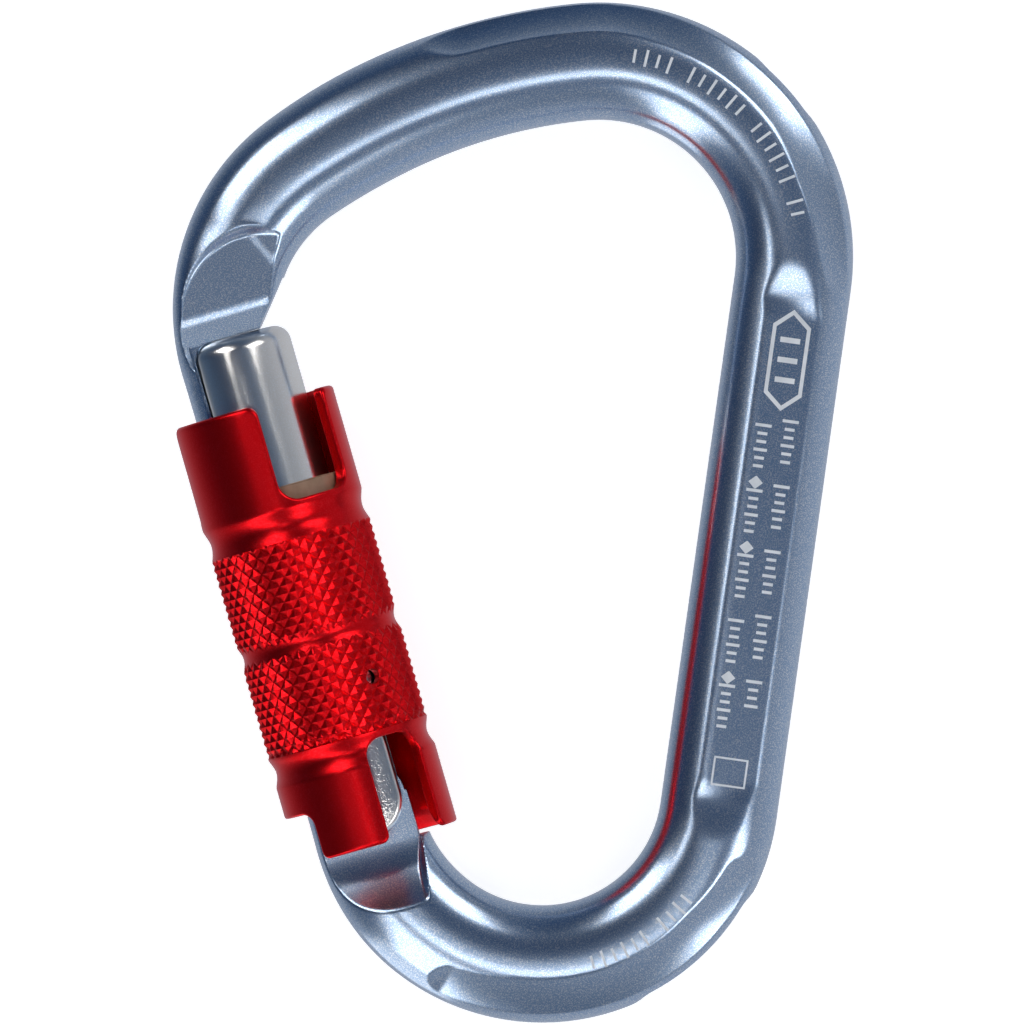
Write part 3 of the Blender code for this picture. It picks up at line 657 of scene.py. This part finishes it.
def section_points():
    """Places across the bar, evenly spaced along its section from outer to inner edge."""
    power = 2.0 / SQUARENESS
    fine = 4001
    angles = np.linspace(0.0, math.pi, fine)
    across = HALF_WIDTH * np.sign(np.cos(angles)) * np.abs(np.cos(angles)) ** power
    up = HALF_THICK * np.abs(np.sin(angles)) ** power
    run = np.concatenate([[0.0], np.cumsum(np.hypot(np.diff(across), np.diff(up)))])
    even = np.linspace(0.0, run[-1], HALF_SIDES + 1)
    return np.interp(even, run, across)


def body_shell():
    """The swept bar with its flutes and flats, closed at both ends."""
    places, outward, runs = centre_line()
    total = runs[-1]
    scale = np.minimum(NOSE_SCALE + (1 - NOSE_SCALE) * eased((total - runs) / NOSE_EASE),
                       TANG_SCALE + (1 - TANG_SCALE) * eased(runs / TANG_EASE))
    half_across = section_points()
    across = scale[:, None] * half_across[None, :]
    from_nose = total - runs
    start_lead, end_lead = NOSE_SQUARE_LEADS
    squarer = (eased((NOSE_SQUARE_START - from_nose) / start_lead)
               * eased((from_nose - NOSE_SQUARE_END) / end_lead))
    power = SQUARENESS + (NOSE_SQUARENESS - SQUARENESS) * squarer
    share = np.abs(half_across / HALF_WIDTH)[None, :]
    height = (scale[:, None] * HALF_THICK
              * np.maximum(1 - share ** power[:, None], 0.0) ** (1 / power[:, None]))
    across, height = pressed_flutes(places, runs, across, height)
    x = places[:, :1] + outward[:, :1] * across
    y = places[:, 1:] + outward[:, 1:] * across
    height = np.maximum(np.minimum(height, press_flats(x, y, height)), 0.0)
    height[:, 0] = height[:, -1] = 0.0
    front = np.stack([x, y, height], axis=2)
    back = np.stack([x, y, -height], axis=2)[:, -2:0:-1]
    points = np.concatenate([front, back], axis=1)
    sides = points.shape[1]
    points = points.reshape(-1, 3)
    faces = grid_faces(len(runs), sides)
    faces.append(tuple(range(sides)))
    faces.append(tuple(range(len(points) - sides, len(points))))
    shell = mesh_piece("forged_body", points, faces)
    outward_faces(shell)
    return shell


def forged_body():
    """The body, with the gate's seat, the nose's key and the tang's eye."""
    body = body_shell()
    far = REACH
    seat_side = -GATE_FLAT - GAP
    chin_length, chin_depth = CHIN_SIZE
    cuts = [
        box_tool("gate_seat", (seat_side, -far, SEAT_LOW), (far, far, NOSE_UNDERSIDE - NOSE_LIP)),
        box_tool("seat_front", (seat_side, NOSE_LIP_HALF, LIP_LOW), (far, far, NOSE_UNDERSIDE)),
        box_tool("seat_back", (seat_side, -far, LIP_LOW), (far, -NOSE_LIP_HALF, NOSE_UNDERSIDE)),
        box_tool("nose_chin", (-CHIN_LEAD, -far, -chin_depth), (chin_length, far, 0.0),
                 turn=math.radians(CHIN_TURN), place=CHIN_PLACE),
        box_tool("tang_inside", (TANG_INSIDE, -far, TANG_STEP), (far, far, TANG_TOP)),
        box_tool("cam_flat", (-far, -far, TANG_CAM), (far, far, TANG_TOP)),
        round_tool("rivet_bore", RIVET_BORE, (0, -far, 0), (0, far, 0)),
    ]
    eye_half = TANG_LEVEL - 0.01 * MM
    eye = round_tool("tang_eye", TANG_RADIUS, (0, -eye_half, 0), (0, eye_half, 0), sides=96)
    apply_tools(body, cuts, [eye])
    head_low, head_top = KEY_HEAD_SPAN
    neck = box_tool("key_neck", (-KEY_OUTER, -KEY_NECK_HALF, head_top - MM),
                    (-KEY_INNER, KEY_NECK_HALF, NOSE_UNDERSIDE))
    head = box_tool("key_head", (-KEY_HEAD_OUTER, -KEY_HEAD_HALF, head_low),
                    (-KEY_INNER - KEY_STAGGER, KEY_HEAD_HALF, head_top))
    apply_tools(body, unions=[neck, head])
    return finish_piece(body, "frame", "anodised_steel_blue", STEEL_BLUE, "body_frame")


# ---------------- marks

def etched_strips(body):
    """Closed thin strips of etched metal that follow the front of the body."""
    surface = BVHTree.FromObject(body, bpy.context.evaluated_depsgraph_get())
    points, faces = [], []
    for left, right, closed in scale_marks() + panel_signs() + bend_ticks():
        first = len(points)
        count = len(left)
        for side in (left, right):
            for x, y in side:
                hit = surface.ray_cast(Vector((x, y, REACH)), -FRONT)[0]
                points += [hit + FRONT * ETCH_HEIGHT, hit - FRONT * ETCH_DEPTH]
        ahead = 2 * count
        for k in range(count if closed else count - 1):
            a, b = first + 2 * k, first + 2 * ((k + 1) % count)
            c, d = b + ahead, a + ahead
            faces += [(a, b, c, d), (a + 1, d + 1, c + 1, b + 1),
                      (a, a + 1, b + 1, b), (d, c, c + 1, d + 1)]
        if not closed:
            for a in (first, first + 2 * (count - 1)):
                faces.append((a, a + 1, a + ahead + 1, a + ahead))
    marks = mesh_piece("etched_marks", points, faces)
    outward_faces(marks)
    return finish_piece(marks, "frame", "anodised_steel_blue", ETCHED)


def bar_outline(x, y, way, length, width, end_width=None):
    """Both long sides of a straight mark with sizes in mm, its end narrower if asked."""
    start, end = width * MM, (width if end_width is None else end_width) * MM
    centre, way, length = np.array((x * MM, y * MM)), np.array(way), length * MM
    aside = np.array([-way[1], way[0]])
    shares = np.linspace(0.0, 1.0, max(2, int(length / MARK_STEP) + 1))
    middle = [centre + way * length * (share - 0.5) for share in shares]
    half = [(start * (1 - share) + end * share) / 2 for share in shares]
    return ([tuple(m + aside * h) for m, h in zip(middle, half)],
            [tuple(m - aside * h) for m, h in zip(middle, half)], False)


def hexagon_outline(centre, half_x, half_y, width, shoulder):
    """Both edges of an upright six-sided line, its shoulders at a share of its half height."""
    tip_inset, shoulder_inset = 1.4, 0.6
    edges = []
    for inset in (0.0, width):
        across, high = half_x - inset, half_y - tip_inset * inset
        side = half_y * shoulder - shoulder_inset * inset
        corners = ((0, high), (across, side), (across, -side),
                   (0, -high), (-across, -side), (-across, side))
        edges.append([(centre[0] + x, centre[1] + y) for x, y in corners])
    return edges[0], edges[1], True


def scale_marks():
    """Two upright columns of graduation lines in groups, with diamonds on the inner one."""
    marks = []
    for scale in SCALES:
        for step, y in enumerate(np.arange(scale["high"], scale["low"], -SCALE_GAP)):
            length = SCALE_LENGTHS[step % len(SCALE_LENGTHS)]
            if length:
                marks.append(bar_outline(scale["x"], y, (1.0, 0.0), length, SCALE_WIDTH))
    for y in DIAMOND_HEIGHTS:
        for way in (1.0, -1.0):
            marks.append(bar_outline(SCALES[0]["x"], y + DIAMOND["length"] / 2 * way, (0.0, way),
                                     DIAMOND["length"], DIAMOND["width"], DIAMOND["tip"]))
    return marks


def panel_signs():
    """The hexagon with three bars above the scales, and the rectangle below them."""
    marks = [hexagon_outline((MARK_LINE * MM, HEXAGON["y"] * MM), HEXAGON["half_x"] * MM,
                             HEXAGON["half_y"] * MM, HEXAGON["width"] * MM, HEXAGON["shoulder"])]
    for step in (-1, 0, 1):
        marks.append(bar_outline(MARK_LINE, HEXAGON["y"] + step * HEXAGON_BARS["gap"], (1.0, 0.0),
                                 HEXAGON_BARS["length"], HEXAGON_BARS["width"]))
    across, high = RECTANGLE["lengths"]
    for way in (1, -1):
        marks.append(bar_outline(MARK_LINE, RECTANGLE["y"] + way * RECTANGLE["half_y"], (1.0, 0.0),
                                 across, RECTANGLE["width"]))
    for way in (-1, 1):
        marks.append(bar_outline(MARK_LINE + way * RECTANGLE["half_x"], RECTANGLE["y"], (0.0, 1.0),
                                 high, RECTANGLE["width"]))
    return marks


def bend_ticks():
    """Ticks that point outward round the top bend and the base bend."""
    marks = []
    for bend in BEND_TICKS:
        for step, angle in enumerate(np.arange(*bend["angles"])):
            if step % BEND_TICK["group"] == BEND_TICK["skipped"]:
                continue
            way = (math.cos(math.radians(angle)), math.sin(math.radians(angle)))
            x, y = ((bend["centre"][k] + bend["radius"] * way[k]) / MM for k in (0, 1))
            length = BEND_TICK["lengths"][step % 2]
            marks.append(bar_outline(x, y, way, length, BEND_TICK["width"]))
    return marks


# ---------------- gate bar

def pin_line():
    """Place and direction of the guide pin's line in the gate's frame."""
    turn = math.radians(PIN_AZIMUTH)
    return Vector((0.0, 0.0, PIN_HEIGHT)), Vector((math.sin(turn), math.cos(turn), 0.0))


def gate_radius(angles, up):
    """The gate bar's radius round its line: a circle with a flat on its outer side."""
    outer = np.maximum(-np.cos(angles), 0.05)
    flat = GATE_FLAT / outer
    share = eased((up - GATE_FLAT_LOW + GATE_FLAT_LEAD) / GATE_FLAT_LEAD)
    flat = flat + (1 - share) * REACH
    return soft_min(np.full_like(angles, GATE_RADIUS), flat, GATE_FLAT_BLEND)


def gate_bar():
    """The gate: a round bar with a rounded top, a forked foot, a key slot and a spring bore."""
    angles = 2 * math.pi * np.arange(GATE_SIDES) / GATE_SIDES
    lead_rings = [GATE_FLAT_LOW - GATE_FLAT_LEAD * share / 3 for share in (3, 2, 1, 0)]
    heights = [GATE_LOW, GATE_LOW + 0.3 * MM, 20 * MM, 32 * MM, 43 * MM, *lead_rings,
               46 * MM, 48 * MM, GATE_TOP - GATE_CORNER]
    rings = [(up, 0.0) for up in heights]
    turns = 12
    for step in range(1, turns + 1):
        angle = math.pi / 2 * step / turns
        rings.append((GATE_TOP - GATE_CORNER * (1 - math.sin(angle)),
                      GATE_CORNER * (1 - math.cos(angle))))
    rings += [(GATE_TOP, inset * MM) for inset in (2.5, 3.5, 4.2)]
    points = []
    for up, inset in rings:
        radius = gate_radius(angles, up) - inset
        for angle, reach in zip(angles, radius):
            points.append(to_world(reach * math.cos(angle), up, reach * math.sin(angle)))
    faces = grid_faces(len(rings), GATE_SIDES)
    faces.append(tuple(range(GATE_SIDES)))
    faces.append(tuple(range(len(points) - GATE_SIDES, len(points))))
    bar = mesh_piece("gate_bar", points, faces)
    outward_faces(bar)
    slot_side = -KEY_INNER + GAP
    head_low, head_top = KEY_HEAD_SPAN
    slot_low = head_low - SLOT_ROOM_LOW
    neck = KEY_NECK_HALF + GAP
    head = KEY_HEAD_HALF + GAP
    far = REACH
    pin_place, pin_way = pin_line()
    cuts = [
        box_tool("neck_slot", (-far, -neck, slot_low), (slot_side, neck, GATE_TOP + MM)),
        box_tool("head_slot", (-far, -head, slot_low), (slot_side, head, head_top + SLOT_ROOM_TOP)),
        box_tool("fork_slot", (-far, -FORK_SLOT_HALF, -far), (far, FORK_SLOT_HALF, FORK_SLOT_TOP)),
        round_tool("fork_bore", RIVET_BORE, (0, -far, 0), (0, far, 0)),
        round_tool("spring_bore", SPRING_BORE, (0, 0, 0), (0, 0, SPRING_BORE_TOP)),
        round_tool("pin_bore", PIN_BORE, pin_place + pin_way * PIN_BORE_START,
                   pin_place + pin_way * far),
    ]
    apply_tools(bar, cuts, [fork_foot()])
    return finish_piece(bar, "gate", "satin_aluminium", SATIN, "gate")


def fork_foot():
    """The gate's flat foot with a round end about the hinge and rounded edges."""
    ends = 40
    rows = []
    turns = 6
    levels = [(FORK_HALF_THICK - FORK_ROUND * (1 - math.sin(math.pi / 2 * k / turns)),
               FORK_ROUND * (1 - math.cos(math.pi / 2 * k / turns))) for k in range(turns, -1, -1)]
    levels += [(-front, inset) for front, inset in reversed(levels)]
    for front, inset in levels:
        half = FORK_HALF_WIDTH - inset
        row = [to_world(side, GATE_LOW + FORK_OVERLAP, front) for side in (half, -half)]
        for step in range(ends + 1):
            angle = math.pi + math.pi * step / ends
            row.append(to_world(half * math.cos(angle), half * math.sin(angle), front))
        rows.append(row)
    columns = len(rows[0])
    points = [point for row in rows for point in row]
    faces = grid_faces(len(rows), columns)
    faces.append(tuple(range(columns)))
    faces.append(tuple(range(len(points) - columns, len(points))))
    foot = mesh_piece("fork_foot", points, faces)
    outward_faces(foot)
    return foot


# ---------------- locking sleeve

def groove_profile(up):
    """The sleeve's outer radius by height, without its knurl."""
    radius = np.full_like(up, SLEEVE_RADIUS)
    for low, high in GROOVES:
        share = np.clip((up - low) / (high - low), 0.0, 1.0)
        radius = radius - GROOVE_DEPTH * np.sin(math.pi * share) ** GROOVE_SHAPE
    return radius


def knurl_profile(angles, up):
    """Radius of the knurl: pyramids left between two families of slanting V-grooves."""
    across = angles * KNURL_TEETH / (2 * math.pi)
    along = up / KNURL_PITCH
    depth = np.zeros_like(across)
    for way in (across + along, across - along):
        depth = np.maximum(depth, 1 - np.abs((way % 1.0) - 0.5) * 2)
    return SLEEVE_RADIUS + KNURL_PROUD - KNURL_DEPTH * depth


def bore_profile(up):
    """The sleeve's bore radius by height: it flares towards the lower end."""
    share = np.clip((SLEEVE_LOW + BORE_FLARE_HEIGHT - up) / BORE_FLARE_HEIGHT, 0.0, 1.0)
    return SLEEVE_BORE + BORE_FLARE * share


def straight_steps(start, end):
    """Points from start, left out, to end on the unrolled wall."""
    count = max(1, int(np.linalg.norm(end - start) / OUTLINE_STEP))
    return [start + (end - start) * k / count for k in range(1, count + 1)]


def rounded_path(corners):
    """A dense polyline through corners (azimuth, height, radius) on the unrolled wall."""
    plane = [(math.radians(azimuth) * SLEEVE_RADIUS, height, radius)
             for azimuth, height, radius in corners]
    dense = [np.array(plane[0][:2])]
    turns = 24
    for before, here, after in zip(plane, plane[1:], plane[2:]):
        corner, radius = np.array(here[:2]), here[2]
        back = np.array(before[:2]) - corner
        forth = np.array(after[:2]) - corner
        back, forth = back / np.linalg.norm(back), forth / np.linalg.norm(forth)
        start = corner + back * radius
        middle = start + forth * radius
        dense += straight_steps(dense[-1], start)
        for k in range(1, turns + 1):
            angle = math.pi / 2 * k / turns
            dense.append(middle - forth * radius * math.cos(angle) - back * radius * math.sin(angle))
    return np.array(dense + straight_steps(dense[-1], np.array(plane[-1][:2])))


def notched_path(edge, notches):
    """Outline of the sleeve's end: a level edge with open notches."""
    corners = [(-180, edge, 0)]
    for notch in notches:
        (start, end), level, root = notch["span"], notch["level"], notch["root"]
        first_lip, last_lip = notch["lips"]
        corners += [(start, edge, first_lip), (start, level, root),
                    (end, level, root), (end, edge, last_lip)]
    return rounded_path([*corners, (180, edge, 0)])


def notch_anchors(notches):
    """Azimuths where an outline keeps its place: both ends, the notches' and the land's middles."""
    first, second = (notch["span"] for notch in notches)
    return [-180, sum(first) / 2, (first[1] + second[0]) / 2, sum(second) / 2, 180]


def even_columns(edge, notches):
    """Spread the columns evenly along an outline: places, tangents and where they meet a ring."""
    path = notched_path(edge, notches)
    steps = np.abs(np.diff(path, axis=0))
    spread = np.concatenate([[0.0], np.cumsum(steps[:, 0] + SIDE_SHARE * steps[:, 1])])
    ring_run = np.concatenate([[0.0], np.cumsum(steps[:, 0] + RING_SIDE_SHARE * steps[:, 1])])
    marks = [math.radians(azimuth) * SLEEVE_RADIUS for azimuth in notch_anchors(notches)]
    off_level = np.where(np.abs(np.gradient(path[:, 1])) < 1e-9, 0.0, 1.0)
    middles = [int(np.argmin(np.abs(path[:, 0] - mark) + off_level)) for mark in marks[1:-1]]
    ring = np.interp(ring_run, ring_run[[0, *middles, len(path) - 1]], marks)
    tangent = np.gradient(path, axis=0)
    tangent /= np.linalg.norm(tangent, axis=1)[:, None]
    shares = np.linspace(0.0, 1.0, len(spread))
    pick = np.interp(spread[-1] * np.arange(COLUMNS) / COLUMNS, spread, shares)
    places = np.stack([np.interp(pick, shares, path[:, k]) for k in (0, 1)], axis=1)
    tangents = np.stack([np.interp(pick, shares, tangent[:, k]) for k in (0, 1)], axis=1)
    tangents /= np.linalg.norm(tangents, axis=1)[:, None]
    return places, tangents, np.interp(pick, shares, ring)


def edge_rows(places, inward, fillet):
    """Rows over a cut edge from the outer wall to the bore: (x, height, radius) arrays."""
    rows = []
    turns = 5
    for step in range(turns + 1):
        angle = math.pi / 2 * step / turns
        x, up = (places + inward * (fillet * (1 - math.sin(angle)))[:, None]).T
        rows.append((x, up, groove_profile(up) - fillet * (1 - math.cos(angle))))
    for step in range(turns):
        angle = math.pi / 2 * step / (turns - 1)
        x, up = (places + inward * BORE_FILLET * (1 - math.cos(angle))).T
        rows.append((x, up, bore_profile(up) + BORE_FILLET * (1 - math.sin(angle))))
    return rows


def loft_rows(start, end, count, profile):
    """Rows between two rows on the same wall, end rows left out."""
    rows = []
    for step in range(1, count + 1):
        share = step / (count + 1)
        x = start[0] * (1 - share) + end[0] * share
        up = start[1] * (1 - share) + end[1] * share
        rows.append((x, up, profile(up)))
    return rows


def ring_row(x, level, profile):
    """One level row round the sleeve."""
    up = np.full(COLUMNS, level)
    return x, up, profile(up)


def knurled_rows(top_ring, low_ring, upper, lower):
    """Level rows of the outer wall between two rings, with the knurl on its bands."""
    even = (np.arange(COLUMNS) / COLUMNS * 2 - 1) * math.pi * SLEEVE_RADIUS
    knurl_top = GROOVES[0][0] + KNURL_MARGIN
    knurl_step = KNURL_PITCH / CELLS_PER_TOOTH
    first = math.floor(knurl_top / knurl_step) * knurl_step
    levels = [*np.arange(upper - PLAIN_ROW_GAP, knurl_top, -PLAIN_ROW_GAP),
              *np.arange(first, lower, -knurl_step)]
    rows = []
    for level in levels:
        blend = float(eased((upper - level) / (upper - knurl_top)))
        drift = float(eased((lower + RING_DRIFT - level) / RING_DRIFT))
        x = top_ring * (1 - blend) + even * blend
        x = x * (1 - drift) + low_ring * drift
        x, up, radius = ring_row(x, level, groove_profile)
        if level < knurl_top:
            radius = np.minimum(radius, knurl_profile(x / SLEEVE_RADIUS, up))
        rows.append((x, up, radius))
    return rows


def sleeve_rows():
    """All rows of the sleeve's wall: down its outside, over the lower edge and up its bore."""
    top, top_way, top_ring = even_columns(SLEEVE_TOP, TOP_NOTCHES)
    low, low_way, low_ring = even_columns(SLEEVE_LOW, LOW_NOTCHES)
    top_in = np.stack([top_way[:, 1], -top_way[:, 0]], axis=1)
    low_in = np.stack([-low_way[:, 1], low_way[:, 0]], axis=1)
    at_rim = eased((top[:, 1] - SLEEVE_TOP + RIM_LEAD) / RIM_LEAD)
    top_edge = edge_rows(top, top_in, NOTCH_FILLET + RIM_EXTRA * at_rim)
    low_edge = edge_rows(low, low_in, np.full(COLUMNS, LOW_FILLET))
    upper, lower = GROOVES[0][1], GROOVES[2][1]
    ring_top, ring_low = (ring_row(ring, level, groove_profile)
                          for ring, level in ((top_ring, upper), (low_ring, lower)))
    bore_top, bore_low = (ring_row(ring, level, bore_profile)
                          for ring, level in ((top_ring, upper), (low_ring, lower)))
    return [top_edge[0],
            *loft_rows(top_edge[0], ring_top, 34, groove_profile), ring_top,
            *knurled_rows(top_ring, low_ring, upper, lower), ring_low,
            *loft_rows(ring_low, low_edge[0], 46, groove_profile), *low_edge,
            *loft_rows(low_edge[-1], bore_low, 20, bore_profile), bore_low,
            *loft_rows(bore_low, bore_top, 12, bore_profile), bore_top,
            *loft_rows(bore_top, top_edge[-1], 20, bore_profile), *top_edge[:0:-1]]


def locking_sleeve():
    """The sleeve: two knurled bands, three grooves, open notches at both ends."""
    wall = sleeve_rows()
    angle, up, radius = (np.array([row[k] for row in wall]) for k in (0, 1, 2))
    angle = angle / SLEEVE_RADIUS
    inside = (radius * np.sin(angle)).ravel()
    front = (radius * np.cos(angle)).ravel()
    turned = np.stack([inside, front, up.ravel()], axis=1)
    place = np.array(gate_frame())
    points = turned @ place[:3, :3].T + place[:3, 3]
    sleeve = mesh_piece("sleeve_shell", points, grid_faces(len(wall), COLUMNS, close_rows=True))
    outward_faces(sleeve)
    hole, way = pin_line()
    apply_tools(sleeve, [round_tool("assembly_hole", ASSEMBLY_HOLE, hole + way * HOLE_START,
                                    hole + way * REACH, sides=32)])
    return finish_piece(sleeve, "sleeve", "anodised_red", RED, "locking_sleeve", crease=28.0)


# ---------------- small pieces, stage, light

def paint_small_pieces():
    """The small pieces keep their CAD shape and take a finish."""
    finishes = {
        "hinge_rivet": POLISHED, "guide_pin": POLISHED, "spring_washer": POLISHED,
        "gate_spring": SPRING, "return_spring": SPRING, "spring_plunger": BRASS,
        "guide_bush": BLACK, "thrust_ring": TAN,
    }
    for name, finish in finishes.items():
        data = frame["nodes"][name].data
        data.materials.clear()
        data.materials.append(finish)


def floor():
    """A plain pale floor just under the carabiner, evenly lit like a light table."""
    level = CAD_BOX[0].z - FLOOR_GAP
    half = FLOOR_HALF
    data = bpy.data.meshes.new("floor")
    data.from_pydata([(-half, -half, level), (half, -half, level), (half, half, level),
                      (-half, half, level)], [], [(0, 1, 2, 3)])
    ground = bpy.data.objects.new("floor", data)
    bpy.context.scene.collection.objects.link(ground)
    made, _, shader = new_material("floor_white")
    shader.inputs["Base Color"].default_value = (0.8, 0.8, 0.8, 1.0)
    shader.inputs["Roughness"].default_value = 0.9
    shader.inputs["Emission Color"].default_value = (1.0, 1.0, 1.0, 1.0)
    shader.inputs["Emission Strength"].default_value = FLOOR_GLOW
    data.materials.append(made)
    ground.visible_glossy = False
    ground.visible_diffuse = False


def world_light():
    """A room that is dark blue overhead and pale grey low down on the near right side."""
    world = bpy.data.worlds.new("studio")
    bpy.context.scene.world = world
    world.use_nodes = True
    tree = world.node_tree
    place = tree.nodes.new("ShaderNodeTexCoord").outputs["Generated"]
    along = tree.nodes.new("ShaderNodeVectorMath")
    along.operation = "DOT_PRODUCT"
    along.inputs[1].default_value = ROOM_WAY
    tree.links.new(place, along.inputs[0])
    share = tree.nodes.new("ShaderNodeMapRange")
    share.inputs["From Min"].default_value = -ROOM_SPAN
    share.inputs["From Max"].default_value = ROOM_SPAN
    tree.links.new(along.outputs["Value"], share.inputs["Value"])
    node = tree.nodes.new("ShaderNodeValToRGB")
    steps = node.color_ramp.elements
    while len(steps) < len(ROOM):
        steps.new(1.0)
    for step, (position, colour) in zip(steps, ROOM):
        step.position = position
        step.color = (*colour, 1.0)
    tree.links.new(share.outputs["Result"], node.inputs["Fac"])
    tree.links.new(node.outputs["Color"], tree.nodes["Background"].inputs["Color"])


def softbox(name, azimuth, tilt, distance, size, radiance):
    """An area light that faces the carabiner, placed by azimuth and by tilt from overhead."""
    turn, lean = math.radians(azimuth), math.radians(tilt)
    way = Vector((math.sin(lean) * math.cos(turn), math.sin(lean) * math.sin(turn), math.cos(lean)))
    data = bpy.data.lights.new(name, "AREA")
    data.shape = "RECTANGLE"
    data.size, data.size_y = size
    data.energy = radiance * math.pi * size[0] * size[1]
    lamp = bpy.data.objects.new(name, data)
    lamp.location = way * distance
    lamp.rotation_euler = way.to_track_quat("Z", "Y").to_euler()
    bpy.context.scene.collection.objects.link(lamp)


def camera():
    """Straight above the carabiner, turned a little, with a long lens."""
    data = bpy.data.cameras.new("camera")
    data.sensor_width = SENSOR_WIDTH
    data.lens = LENS
    eye = bpy.data.objects.new("camera", data)
    eye.location = (*VIEW_CENTRE, VIEW_WIDTH * LENS / SENSOR_WIDTH)
    eye.rotation_euler = (0.0, 0.0, math.radians(VIEW_TURN))
    data.clip_end = 10.0
    bpy.context.scene.collection.objects.link(eye)
    bpy.context.scene.camera = eye


etched_strips(forged_body())
gate_bar()
locking_sleeve()
paint_small_pieces()
floor()
bpy.context.scene.view_settings.view_transform = "Standard"
world_light()
for box in SOFTBOXES:
    softbox(*box)
camera()
